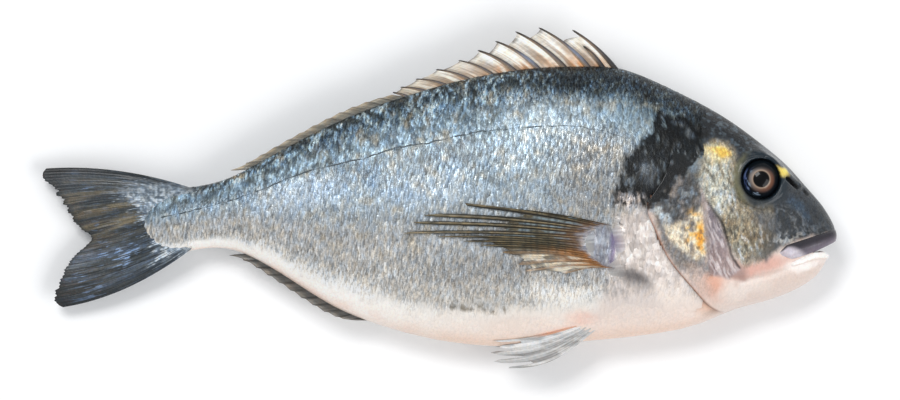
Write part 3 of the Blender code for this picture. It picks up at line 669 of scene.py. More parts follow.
    @staticmethod
    def lay_fin_lobe(paint: Paint, mx: Array, my: Array) -> None:
        """The silvery lobe at the breast fin's root, its mauve crease and painted shade in the pits
        above and below it."""
        turn = np.arctan2(my + 14.3, mx - 26)
        hairs = cloud(np.stack([turn * 11, 0.35 * mx, 0 * mx], -1), 1.0, 19)
        lobe = 1 - rise(0.75, 1.15, spot(mx, my, (20.0, -14.3), (5.4, 8.8)))
        paint.lay("#7f808b", 0.9 * lobe, 0.4)
        paint.lay("#ccd0d6", 0.55 * lobe * rise(0.42, 0.60, hairs))
        crease, _ = line_distance(mx, my, np.array([(23.4, -10.5), (23.8, -16), (23.2, -21)]))
        paint.lay("#6d6080", 0.85 * (1 - rise(0.4, 1.7, crease)))
        # painted shade: near-black in the two pits at the ends of the fin's root
        paint.dab(mx, my, "#14100f", 0.95, (26.6, -5.4), (2.3, 0.9), -8, (0.5, 1.3))
        paint.dab(mx, my, "#3b2a26", 0.9, (25.0, -22.9), (2.6, 0.8), -8, (0.4, 1.3))

    def lay_blotch(self, paint: Paint, mx: Array, my: Array, place: Array) -> None:
        """The black blotch at the start of the lateral line, veined and cloudy, over both the
        shoulder and the gill cover's upper edge."""
        veins = cloud(place * [1.0, 0.7, 1.0], 2.6, 13)
        frayed = 6 * (cloud(place, 3.2, 14, 3) - 0.5)
        black = 0.98 * patch(mx, my, self.blotch, 1.4, frayed) * rise(0.14, 0.32, veins)
        paint.lay("#0e1011", black, 1.0)
        paint.lay("#747b80", 0.5 * rise(0.62, 0.72, veins) * patch(mx, my, self.blotch, 6.0))
        paint.dab(mx, my, "#53585d", 0.5, (37, 14), (5, 7), 20, (0.2, 1.1))
        paint.dab(mx, my, "#141617", 0.75, (46, 27), (7, 5), 10, (0.4, 1.2), 1.0)
        net = np.abs(cloud(place, 2.2, 15) - 0.5)
        paint.dab(mx, my, "#d5cbc6", 0.8 * rise(0.03, 0.09, net), (30.5, 3.5), (6.0, 3.6), 0, (0.5,
            1.1))

    def head(self, form: BodyForm, x: Array, y: Array, z: Array) -> Paint:
        """Colours of the head's skin and how strongly its speckles show."""
        place = np.stack([x, y, z], axis=-1) / MM
        mx, my = self.moved(place, 6.0, 1.5, 31)
        sx, sy = self.moved(place, 3.0, 0.35, 35)
        fine, dots = cloud(place, 3.4, 22), cloud(place, 1.5, 23)
        speck = 0.5 * fine + 0.5 * dots
        paint = Paint("#dfccc1", x.shape, 0.10)
        for coat in (
                ("#d19f8f", 0.95, (80, -22.5), (17, 4.5), 14),
                ("#d79a7e", 0.95, (62.0, -29), (8.5, 7), -42, (0.2, 1.2)),
                ("#ebddd4", 0.8, (76, -31), (13, 4.0), 14, (0.2, 1.2)),
                ("#faf3ee", 0.85, (99, -21.5), (10, 2.6), 14, (0.2, 1.2))):
            paint.dab(mx, my, *coat)
        paint.lay("#33373b", patch(mx, my, self.dark_head, 3.5), 0.7)
        slant = np.stack([mx + my, 0.45 * (mx - my), 0 * mx], axis=-1)
        brushed = cloud(slant, 1.3, 37, 3)
        for coat in (
                ("#6f7377", 0.65 * rise(0.42, 0.66, brushed), (96, -6), (14, 7), -30, (0.3, 1.3)),
                ("#b4b4b2", 0.6 * rise(0.52, 0.66, dots), (91, -10.5), (9, 3.5), 8),
                # painted reflection: a blue-grey patch on the glossy snout below the nostril
                ("#45596c", 0.5, (97, 1), (8, 3.5), -45, (0.2, 1.2))):
            paint.dab(mx, my, *coat)
        paint.lay("#837d79", patch(mx, my, self.cover, 4.0), 0.7)
        paint.dab(mx, my, "#bfa99e", 0.8, (57, -27.5), (9, 5.0), -50, (0.3, 1.3), 0.3)
        shade = 0.84 * patch(mx, my, self.cover_shade, 4.5) * rise(0.2, 0.42, fine)
        paint.lay("#3b3e41", shade, 0.9)
        paint.lay("#70777c", 0.6 * rise(0.5, 0.68, speck) * patch(mx, my, self.cover_shade, 3.0))
        # painted wet sheen: a pale blue-grey patch on the gill cover near its rear edge
        paint.dab(mx, my, "#c3ced4", 0.9 * rise(0.40, 0.56, speck), (42, -2.0), (6.5, 3.2), -28,
            (0.4, 1.1))
        paint.dab(mx, my, "#8a9298", 0.70 * rise(0.46, 0.6, speck), (51, 5), (5.5, 4.5), 0, (0.2,
            1.2))
        gold = 0.9 * patch(mx, my, self.gold_field, 3.0) * rise(0.22, 0.42, fine)
        paint.lay("#f2e4cb", gold, 0.6)
        hot = (1 - rise(0.4, 1.25, spot(mx, my, (56, -9), (4.8, 9.5), 8)))
        paint.lay("#f3c878", 0.9 * hot * rise(0.40, 0.56, speck), 0.5)
        paint.lay("#f0a436", 0.9 * hot * rise(0.54, 0.66, speck))
        paint.lay("#5c544b", 0.6 * rise(0.60, 0.68, cloud(place, 1.1, 26)) * patch(
            mx, my, self.gold_field, 3.0))
        cheek = patch(mx, my, self.cheek, 4.0) * (1 - 0.85 * rise(76, 88, mx - 0.35 * (my + 8)))
        paint.lay("#a0957f", cheek, 0.95)
        for coat in (
                ("#d2d2c4", 0.9, (64.5, 12), (7.5, 13), 0, (0.35, 1.2), 0.85),
                ("#8d98a2", 0.5 * rise(0.55, 0.7, fine), (66, 4), (7, 11), 0, (0.35, 1.2)),
                ("#6a5b45", 0.6 * rise(0.44, 0.62, fine), (76, -10), (11, 10), 0, (0.4, 1.2))):
            paint.dab(mx, my, *coat)
        streak = cloud(place * [1.5, 0.55, 1.0] + 0.3 * place[:, [1, 0, 2]], 1.5, 27)
        paint.lay("#3f382c", 0.65 * cheek * rise(0.56, 0.70, streak))
        paint.lay("#dfe3e6", 0.55 * cheek * (1 - rise(0.28, 0.40, streak)))
        paint.dab(mx, my, "#5b5c5e", 0.8, (83, -3.5), (7, 4.5), -25, (0.3, 1.2), 0.6)
        paint.dab(mx, my, "#8f726b", 0.8, (71, -24), (8, 4), -15)
        band = patch(sx, sy, self.band, 2.6)
        paint.lay("#8a8086", 0.9 * band, 0.3)
        paint.lay("#977f7a", 0.85 * band * (1 - rise(-20, -8, sy)))
        run = np.stack([sx * 0.94 + sy * 0.34, (sx * 0.34 - sy * 0.94) * 0.16, 0 * sx], axis=-1)
        folds = cloud(run, 0.62, 29, 3)
        paint.lay("#ddd3d3", 0.60 * band * rise(0.48, 0.68, folds))
        paint.lay("#5b4f54", 0.38 * band * (1 - rise(0.32, 0.48, folds)))
        line, _ = line_distance(sx, sy, np.array([(58.6, 8.0), (60.0, -3), (60.8, -18), (58, -25)]))
        paint.lay("#a3948f", 0.7 * (1 - rise(0.3, 1.4, line)))
        line, _ = line_distance(
            sx, sy, np.array([(61.0, 3.2), (66.9, -6.1), (70.6, -19), (73, -22)]))
        paint.lay("#2a2425", 0.8 * (1 - rise(0.1, 0.8, line)))
        paint.lay("#12161a", 0.98 * rise(-1.0, 4.0, self.over_brow(mx, my)), 0.6)
        paint.lay("#5e6c76", 0.6 * rise(0.54, 0.70, dots) * rise(-1, 3, self.over_brow(mx, my)))
        self.lay_blotch(paint, mx, my, place)
        ring = spot(sx, sy, EYE_MIDDLE, (7.8, 8.2))
        paint.lay("#17252e", 0.92 * (1 - rise(1.15, 1.65, ring)), 0.15)
        paint.lay("#7e7a58", 0.6 * (1 - rise(0.05, 0.3, np.abs(ring - 1.28))) * rise(0, 6, 78 - mx))
        paint.dab(mx, my, "#efdca8", 0.8, (63.5, 22.5), (7.0, 4.0), -12, (0.3, 1.3), 0.6)
        paint.dab(mx, my, "#f6c552", 0.9, (66.0, 23.0), (4.5, 2.0), -18)
        paint.dab(sx, sy, "#ecd06a", 0.85, (89.6, 15.0), (3.6, 1.9), -25, (0.4, 1.3), 0.1)
        paint.dab(sx, sy, "#f8de62", 0.95, (90.8, 15.3), (2.1, 1.5), -30, (0.4, 1.1), 0.1)
        return paint

    @staticmethod
    def over_brow(mx: Array, my: Array) -> Array:
        """How far, in millimetres, a place lies above the pale cheek towards the head's top."""
        return my - np.interp(mx, (36, 50, 56, 63, 69, 74, 90, 97, 104, 112),
                              (36, 33, 30, 29, 27, 22, 17, 10, 4, 1))


# Finishes


def add_node(
    tree: NodeTree,
    kind: str,
    inputs: dict | None = None,
    output: str | int = 0,
    **settings: object,
) -> NodeSocket:
    """Adds a shader node with its settings and links.

    Args:
        tree: the material's nodes.
        kind: the node's type, without its leading ShaderNode.
        inputs: a value or another node's output for each input.
        output: which output is wanted.
        settings: the node's own options.

    Returns:
        The wanted output.
    """
    node = tree.nodes.new("ShaderNode" + kind)
    for name, value in settings.items():
        setattr(node, name, value)
    for name, value in (inputs or {}).items():
        if isinstance(value, NodeSocket):
            tree.links.new(value, node.inputs[name])
        else:
            node.inputs[name].default_value = value
    return node.outputs[output]


@dataclass(frozen=True)
class Finish:
    """What the fish's finishes share: a pattern lightens and darkens the painted tint, swings it
    between a warm and a cool cast, and raises the surface where it is light."""

    name: str = "wet_skin"
    roughness: tuple = (0.3, 0.5)  # where the pattern is light and where it is dark
    metallic: float = 0.0
    coat: float = 0.3
    coat_roughness: float = 0.1
    coat_ior: float = 1.5
    specular: float = 0.25
    relief: float = 0.3 * MM
    glow: float = 0.0
    contrast: float = 2.9  # how many times brighter a full step of the pattern is
    cast: float = 0.13
    cast_grain: tuple = (1.3, 3.2, 2.5)  # size of the warm and cool flecks, in millimetres

    def pattern(self, tree: NodeTree, place: NodeSocket) -> NodeSocket:
        """The pattern's value, about -0.7 where it is dark and 0.7 where it is light."""
        raise NotImplementedError

    def spread(
        self, tree: NodeTree, value: NodeSocket, low: float, high: float,
        start: float = 0.33, end: float = 0.67,
    ) -> NodeSocket:
        """Stretches a noise's middle range to run from low to high."""
        return add_node(tree, "MapRange", {
            "Value": value, "From Min": start, "From Max": end, "To Min": low, "To Max": high})

    def drawn(
        self, tree: NodeTree, place: NodeSocket, size: tuple, turn: float = 0.0
    ) -> NodeSocket:
        """Places measured in cells of a size in millimetres, turned by an angle in degrees."""
        return add_node(tree, "Mapping", {
            "Vector": place, "Rotation": (0.0, 0.0, math.radians(turn)),
            "Scale": tuple(s * MM for s in size)}, vector_type="TEXTURE")

    def build(self) -> Material:
        """Makes the material."""
        made = bpy.data.materials.new(self.name)
        made.use_nodes = True
        tree = made.node_tree
        shader = tree.nodes["Principled BSDF"]
        place = add_node(tree, "TexCoord", output="Object")
        tint = add_node(tree, "Attribute", output="Color", attribute_name=TINT)
        grain = add_node(tree, "Attribute", output="Fac", attribute_name=GRAIN)
        shade = self.pattern(tree, place)
        shown = add_node(tree, "Math", {0: shade, 1: grain}, operation="MULTIPLY")
        gain = add_node(tree, "Math", {0: self.contrast, 1: shown}, operation="POWER")
        swing = add_node(tree, "TexNoise", {
            "Vector": self.drawn(tree, place, self.cast_grain, -8), "Scale": 1.0, "Detail": 3.0})
        swing = self.spread(tree, swing, -self.cast, self.cast)
        swing = add_node(tree, "Math", {0: swing, 1: grain}, operation="MULTIPLY")
        hue = add_node(tree, "VectorMath", {0: swing, 1: (1.0, 0.1, -1.0), 2: (1.0, 1.0, 1.0)},
                       operation="MULTIPLY_ADD")
        colour = add_node(tree, "VectorMath", {0: tint, 1: gain}, operation="MULTIPLY")
        colour = add_node(tree, "VectorMath", {0: colour, 1: hue}, operation="MULTIPLY")
        colour = add_node(tree, "VectorMath", {0: colour, 1: (0.9, 0.9, 0.9)}, operation="MINIMUM")
        rough = add_node(tree, "MapRange", {
            "Value": shade, "From Min": -0.8, "From Max": 0.8,
            "To Min": self.roughness[1], "To Max": self.roughness[0]})
        fine = add_node(tree, "TexNoise", {"Vector": place, "Scale": 2600.0, "Detail": 2.0})
        height = add_node(tree, "Math", {0: fine, 1: 0.15, 2: shown}, operation="MULTIPLY_ADD")
        bump = add_node(tree, "Bump", {
            "Height": height, "Strength": 0.7, "Distance": self.relief})
        metal = add_node(tree, "Math", {0: grain, 1: self.metallic}, operation="MULTIPLY")
        for name, value in {
            "Base Color": colour, "Roughness": rough, "Normal": bump, "Metallic": metal,
        }.items():
            tree.links.new(value, shader.inputs[name])
        for name, value in {
            "Coat Weight": self.coat,
            "Coat Roughness": self.coat_roughness, "Coat IOR": self.coat_ior,
            "Specular IOR Level": self.specular, "Subsurface Weight": self.glow,
            "Subsurface Scale": 2.0 * MM, "Subsurface Radius": (1.0, 0.45, 0.3),
        }.items():
            shader.inputs[name].default_value = value
        return made


@dataclass(frozen=True)
class WetSkin(Finish):
    """Bare fish skin, wet: leathery, mottled with pigment specks of about a millimetre over
    sunk scales of 1.6 mm, and moist, so that its shine breaks up over them."""

    roughness: tuple = (0.22, 0.45)
    coat: float = 0.30
    coat_roughness: float = 0.13
    glow: float = 0.05
    specks: tuple = (0.85, 1.8, 1.1)

    def pattern(self, tree: NodeTree, place: NodeSocket) -> NodeSocket:
        """Specks from noise, and the sunk scales' rims from distances to cell edges."""
        speck = add_node(tree, "TexNoise", {
            "Vector": self.drawn(tree, place, self.specks, -10), "Scale": 1.0, "Detail": 4.0,
            "Roughness": 0.65, "Distortion": 0.6})
        speck = self.spread(tree, speck, -0.6, 0.6)
        cell = add_node(tree, "TexVoronoi", {
            "Vector": place, "Scale": 620.0, "Randomness": 0.9}, feature="DISTANCE_TO_EDGE")
        cell = add_node(tree, "MapRange", {
            "Value": cell, "From Min": 0.0, "From Max": 0.2, "To Min": -0.24, "To Max": 0.10})
        return add_node(tree, "Math", {0: speck, 1: cell}, operation="ADD")


@dataclass(frozen=True)
class SilverScale(Finish):
    """Fish scales: thin horny plates over guanine crystals, wet. Each has painted shade at its
    root, under the scale before, painted light in the middle towards its free edge, and darker
    sides and a dark free rim; upright streaks 0.7 mm wide, partly painted glints, lighten and
    darken it and break up its shine."""

    name: str = "silver_scale"
    roughness: tuple = (0.22, 0.46)
    metallic: float = 0.42
    coat: float = 0.20
    coat_roughness: float = 0.10
    relief: float = 0.13 * MM
    streaks: tuple = (0.62, 2.8, 1.4)
    plate_contrast: float = 0.34

    def pattern(self, tree: NodeTree, place: NodeSocket) -> NodeSocket:
        """Streaks and specks from noise, and the plate's painted shade and light from its UV map.
        """
        plate = add_node(tree, "UVMap", uv_map=PLATE)
        across = add_node(tree, "SeparateXYZ", {"Vector": plate}, output="X")
        down = across.node.outputs["Y"]
        across = add_node(tree, "Math", {0: across, 1: 0.5}, operation="SUBTRACT")
        across = add_node(tree, "Math", {0: across}, operation="ABSOLUTE")
        # darker sides and free rim; painted shade at the root, under the scale before, and painted
        # light towards the free edge
        parts = [(across, 0.36, 0.5, 1.0, 0.6), (down, 0.35, 0.9, 0.0, 1.0),
                 (down, 0.94, 1.0, 1.0, 0.35)]
        shape = None
        for value, start, end, low, high in parts:
            part = add_node(tree, "MapRange", {
                "Value": value, "From Min": start, "From Max": end, "To Min": low, "To Max": high,
            }, interpolation_type="SMOOTHSTEP")
            shape = part if shape is None else add_node(
                tree, "Math", {0: shape, 1: part}, operation="MULTIPLY")
        shape = add_node(tree, "MapRange", {
            "Value": shape, "To Min": -self.plate_contrast, "To Max": 0.7 * self.plate_contrast})
        streak = add_node(tree, "TexNoise", {
            "Vector": self.drawn(tree, place, self.streaks, -9), "Scale": 1.0, "Detail": 3.0,
            "Roughness": 0.6, "Distortion": 0.6})
        streak = self.spread(tree, streak, -0.62, 0.42, 0.34, 0.60)
        speck = add_node(tree, "TexNoise", {"Vector": place, "Scale": 1500.0, "Detail": 2.0})
        speck = self.spread(tree, speck, -0.22, 0.22)
        both = add_node(tree, "Math", {0: streak, 1: speck}, operation="ADD")
        return add_node(tree, "Math", {0: both, 1: shape}, operation="ADD")


@dataclass(frozen=True)
class FinWeb(Finish):
    """Fin rays and web: thin wet skin over horny rays that split into fine threads. Lines run
    along the rays, with joints across them about a millimetre apart."""

    name: str = "fin_web"
    roughness: tuple = (0.3, 0.48)
    metallic: float = 0.06
    coat: float = 0.25
    coat_roughness: float = 0.15
    relief: float = 0.22 * MM
    glow: float = 0.05
    threads: tuple = (6.0, 3.0, 1.0)  # threads to a ray
    joints: tuple = (1.5, 60.0, 1.0)  # joints along a ray

    def pattern(self, tree: NodeTree, place: NodeSocket) -> NodeSocket:
        """Threads and joints from noise that is drawn out along and across the rays."""
        plate = add_node(tree, "UVMap", uv_map=PLATE)
        total = None
        for scale, strength in ((self.threads, 0.5), (self.joints, 0.28)):
            drawn = add_node(tree, "Mapping", {"Vector": plate, "Scale": scale})
            noise = add_node(tree, "TexNoise", {"Vector": drawn, "Scale": 1.0, "Detail": 3.0},
                             noise_dimensions="2D")
            noise = self.spread(tree, noise, -strength, strength)
            total = noise if total is None else add_node(
                tree, "Math", {0: total, 1: noise}, operation="ADD")
        return total


@dataclass(frozen=True)
class WetEye(Finish):
    """A fish's eye: a clear wet cornea over a fine-threaded iris, so it mirrors the light."""

    name: str = "wet_eye"
    roughness: tuple = (0.3, 0.4)
    coat: float = 0.55
    coat_roughness: float = 0.03
    coat_ior: float = 1.36
    specular: float = 0.05
    relief: float = 0.001 * MM

    def pattern(self, tree: NodeTree, place: NodeSocket) -> NodeSocket:
        """Threads of about half a millimetre in the iris."""
        mottle = add_node(tree, "TexNoise", {"Vector": place, "Scale": 1900.0, "Detail": 3.0})
        return self.spread(tree, mottle, -0.5, 0.5)


# The fish's parts


@dataclass
class HeadRelief:
    """The low forms of the skin, each a rise or a dip in millimetres read at (x, y)."""

    cheek_rear: tuple = ((58.6, 6.0), (60.7, 3.2), (66.7, -6.1), (70.5, -19.1), (73.5, -22.5))
    cover_front: tuple = ((57.8, 8.0), (58.6, 4.0), (60.7, -6.8), (62.3, -23.7), (60.0, -27.0))
    brow: tuple = ((73.5, 19.0), (77.0, 21.6), (82.5, 21.4), (88.5, 17.6), (92.0, 14.5))
    under_eye: tuple = ((72.5, 8.0), (75.5, 3.5), (80.0, 1.2), (86.0, 1.6), (90.0, 3.4))
    cheek_front: tuple = ((76.0, 4.5), (79.5, -1.0), (84.0, -6.0), (90.0, -10.0))
    nostril: tuple = ((92.2, 12.4), (93.6, 11.2), (95.9, 9.2))
    small_nostril: tuple = ((98.7, 7.8), (100.0, 6.2))
    throat: tuple = ((67.0, -26.0), (76.0, -27.5), (88.0, -24.5), (97.0, -21.5))
    fin_lobe: tuple = ((20.6, -14.3), (5.6, 9.6))
    fin_pits: tuple = ((26.5, -5.2), (25.0, -23.0))
    lobe_crease: tuple = ((24.6, -5.8), (26.8, -14.0), (24.6, -22.6))
    armpit_fold: tuple = ((24.0, -22.5), (29.0, -24.8), (36.0, -28.5))

    def height(self, x: Array, y: Array) -> Array:
        """Sum of all forms at places in metres; grooves are bell-shaped across their line."""
        mx, my = x / MM, y / MM

        def groove(line: tuple, depth: float, width: float) -> Array:
            """A bell-shaped dip along a line, dying out at its ends."""
            away, share = line_distance(mx, my, np.array(line))
            return -depth * np.exp(-((away / width) ** 2)) * np.sin(
                np.clip(share, 0.0, 1.0) * math.pi) ** 0.8

        total = groove(self.cheek_rear, 0.7, 0.9) + groove(self.cover_front, 0.75, 0.7)
        total += groove(self.brow, 0.8, 0.8) + groove(self.under_eye, 0.55, 0.7)
        total += groove(self.cheek_front, 0.25, 0.8) + groove(self.throat, 0.3, 1.1)
        total += groove(self.lobe_crease, 0.4, 0.9) + groove(self.armpit_fold, 0.35, 2.6)
        away, _ = line_distance(mx, my, np.array(self.nostril))
        total -= 2.2 * (1 - rise(0.35, 1.15, away)) - 0.35 * np.exp(-((away - 1.6) / 0.6) ** 2)
        away, _ = line_distance(mx, my, np.array(self.small_nostril))
        total -= 1.2 * (1 - rise(0.15, 0.7, away))
        centre, radii = self.fin_lobe
        total += 0.7 * (1 - rise(0.25, 1.15, spot(mx, my, centre, radii)))
        for pit in self.fin_pits:
            total -= 1.3 * np.exp(-spot(mx, my, pit, (2.6, 1.5), -12) ** 2)
        return total * MM


@dataclass
class Skin:
    """The whole skin of head and body, one closed surface: rings round the body from the snout
    back, bent so that one of them runs along the gill cover's free rim and tucks in under it."""

    form: BodyForm
    colours: FishColours
    relief: HeadRelief
    head_rings: int = 225
    trunk_rings: int = 52
    around: int = 170  # steps over one flank
    bend: tuple = (100.0 * MM, -10.0 * MM)
    flap_rise: float = 1.5
    flap_reach: float = 14.0
    groove_depth: float = 0.9
    groove_reach: float = 3.0
    flap_top: tuple = (0.30, 0.55)
    # rings of the rim: way back, tuck forward under the flap, and lift, in millimetres
    rim: tuple = (
        (0.00, 0.0, 1.50),
        (0.12, 0.0, 1.38),
        (0.24, 0.1, 1.10),
        (0.36, 1.4, 0.75),
        (0.48, 2.4, 0.10),
        (0.62, 1.5, -0.60),
        (0.76, 0.4, -0.85),
    )
    gape_upper: tuple = ((102.3, -16.1), (109.1, -13.1), (113.0, -11.0))
    gape_lower: tuple = ((102.3, -16.3), (106.7, -16.3), (108.5, -17.8), (113.0, -19.5))
    gape_back: float = 101.6 * MM
    eye_open: tuple = (7.7, 8.1)
    socket_depth: float = 3.2

    def rings(self) -> tuple[Array, Array, Array]:
        """Place, tuck and lift of every ring, from the snout to the tail's root."""
        form = self.form
        gill = np.interp(-form.gill_rear, -form.outline[::-1, 0], form.chord)
        head = np.linspace(0, gill, self.head_rings + 1)[:-1]
        rim = np.array(self.rim) * MM
        start = gill + rim[-1, 0] + 0.5 * MM
        trunk = start + (form.chord[-1] - start) * np.linspace(0, 1, self.trunk_rings) ** 0.92
        chord = np.concatenate([head, gill + rim[:, 0], trunk])
        place = np.interp(chord, form.chord, form.outline[::-1, 0])
        ahead = (place - form.gill_rear) / MM
        lift = np.where(
            ahead >= 0,
            self.flap_rise * np.exp(-np.maximum(ahead, 0) / self.flap_reach),
            -self.groove_depth * np.exp(np.minimum(ahead, 0) / self.groove_reach),
        ) * MM
        first = self.head_rings
        tuck = np.zeros(len(place))
        tuck[first : first + len(rim)] = rim[:, 1]
        lift[first : first + len(rim)] = rim[:, 2]
        return place, tuck, lift

    def points(self) -> tuple[Array, Array, Array]:
        """Grid of points, rings by steps round the body, with each ring's place and freedom.

        Each point is the smooth body's, pushed out by the lift of its ring and the low relief,
        along the surface's own normal.
        """
        form = self.form
        place, tuck, lift = self.rings()
        step = np.arange(2 * self.around)
        q = np.where(step <= self.around, step, 2 * self.around - step) / self.around
        side = np.where(step <= self.around, 1.0, -1.0)
        ring_x, q = np.broadcast_arrays(place[:, None], q[None, :])
        t = form.depth_at(ring_x, q)
        shift = form.gill_x(t) - form.gill_rear
        strength = rise(self.bend[1], form.gill_rear, ring_x) * (
            1 - rise(form.gill_rear, self.bend[0], ring_x))
        x = ring_x + strength * shift
        t = np.where(q <= 0, 1.0, np.where(q >= 1, -1.0, form.depth_at(x, q)))
        free = (1 - rise(*self.flap_top, t)) * rise(-1.0, -0.88, t)
        x = x + tuck[:, None] * free
        y = form.level(x, t)
        half = form.half_width(x, t) + form.eye_pad(x, y)
        grid = np.stack([x, y, form.mid(x) + side * half], axis=-1)
        wrapped = np.concatenate([grid[:, -2:], grid, grid[:, :2]], axis=1)
        normal = grid_normals(wrapped)[:, 2:-2]
        outward = np.sign(normal[..., 2] * side)
        flat = np.abs(normal[..., 2]) < 0.05
        outward = np.where(flat, np.sign((y - form.level(x, 0 * t)) * normal[..., 1]), outward)
        normal = normal * np.where(outward == 0, 1, outward)[..., None]
        # the tucked rings fold over, so the rim's own normal serves for all of them
        first = self.head_rings
        normal[first : first + len(self.rim) + 1] = normal[first - 1]
        rise_by = lift[:, None] * free + self.relief.height(x, y)
        rise_by = rise_by + self.socket(x, y)
        grid = grid + normal * rise_by[..., None]
        grid[..., 2] = form.settle(grid[..., 2])
        return self.open_mouth(grid), place, free

    def socket(self, x: Array, y: Array) -> Array:
        """The eye's opening: a low lid round it and a deep round pit inside."""
        away = spot(x / MM, y / MM, EYE_MIDDLE, self.eye_open)
        lid = 0.5 * np.exp(-(((away - 1.12) / 0.1) ** 2))
        return (lid - self.socket_depth * (1 - rise(0.93, 1.03, away))) * MM

    def open_mouth(self, grid: Array) -> Array:
        """Pulls what lies between the lips straight back, so that the mouth stands open."""
        mx, my = grid[..., 0] / MM, grid[..., 1] / MM
        upper, lower = np.array(self.gape_upper), np.array(self.gape_lower)
        high = np.interp(mx, upper[:, 0], upper[:, 1])
        low = np.interp(mx, lower[:, 0], lower[:, 1])
        between_lips = (my < high + 0.3) & (my > low - 0.3) & (mx > upper[0, 0])
        grid[..., 0] = np.where(between_lips, self.gape_back, grid[..., 0])
        self.inside_mouth = between_lips
        return grid

    def build(self, finish: Material) -> Object:
        """Makes the skin with its colours."""
        grid, place, free = self.points()
        rings, around = grid.shape[:2]
        body = grid[1:-1]
        index = np.arange(body.shape[0] * around).reshape(body.shape[0], around)
        index = np.concatenate([index, index[:, :1]], axis=1)
        nose, tail = index.size - len(index), index.size - len(index) + 1
        caps = [
            np.stack([np.full(around, nose), index[0, 1:], index[0, :-1]], axis=-1),
            np.stack([np.full(around, tail), index[-1, :-1], index[-1, 1:]], axis=-1),
        ]
        ends = [grid[0].mean(0)[None], grid[-1].mean(0)[None]]
        points = np.concatenate([body.reshape(-1, 3), *ends])
        paint = self.paint(points, place, free)
        return put_piece("skin", points, [quads(index)[:, ::-1], *caps], finish, paint.tint,
                         paint.grain)

    def paint(self, points: Array, place: Array, free: Array) -> Paint:
        """Colours of head and trunk, blended over the gill cover's rim and the nape."""
        x, y, z = points.T
        paint = self.colours.head(self.form, x, y, z)
        trunk = self.colours.trunk(self.form, x, y, z)
        around = free.shape[1]
        ring = np.concatenate([np.repeat(np.arange(1, len(place) - 1), around), [0, len(place)]])
        loose = np.concatenate([free[1:-1].ravel(), [1, 1]])
        behind = (ring > self.head_rings + 2.5).astype(float)
        nape = 1 - rise(54 * MM, 62 * MM, x)
        share = behind * loose + nape * (1 - loose)
        paint.tint += (trunk.tint - paint.tint) * share[:, None]
        dressed = np.where(x < -140 * MM, 0.8, 0.12)
        paint.grain += (np.minimum(trunk.grain, dressed) - paint.grain) * share
        back = np.interp(ring, np.arange(len(place)), (self.form.gill_rear - place) / MM)
        low = loose * (1 - rise(6, 13, y / MM))
        paint.lay("#e3b79c", 0.85 * low * behind * (1 - rise(1.6, 4.2, back)), 0.1)
        paint.lay("#c07a4c", 0.75 * low * behind * (1 - rise(0.7, 2.2, back)) * (
            rise(-36, -32, y / MM)) * (1 - rise(-24, -17, y / MM)), 0.1)
        paint.lay("#6e3f2c", 0.9 * low * behind * (1 - rise(0.5, 1.1, back)), 0.1)
        paint.dab(x / MM, y / MM, "#8a7166", 0.5 * behind * loose, (64.0, -39.5), (3.6, 1.5), 25)
        last = self.head_rings
        edge = low * (ring <= last + 2.5) * rise(last - 2.5, last, ring)
        paint.lay("#8a5a41", 0.8 * edge * (1 - rise(-6, 4, y / MM)))
        # painted shade in the gap just behind the gill cover's upper rim
        paint.lay("#1c1b1c", 0.9 * loose * (1 - low) * behind * (1 - rise(0.6, 2.5, back)))
        inside = np.concatenate([self.inside_mouth[1:-1].ravel(), [False, False]])
        paint.lay("#4a2422", inside.astype(float), 0.05)
        # painted shade: the deep nostril pits near black
        paint.lay("#08080a", ((self.relief.height(x, y) < -0.9 * MM) & (x > 85 * MM)).astype(float))
        # painted shade: the eye's pit dark round the eyeball
        paint.lay("#10151a", (self.socket(x, y) < -1.0 * MM).astype(float), 0.05)
        return paint


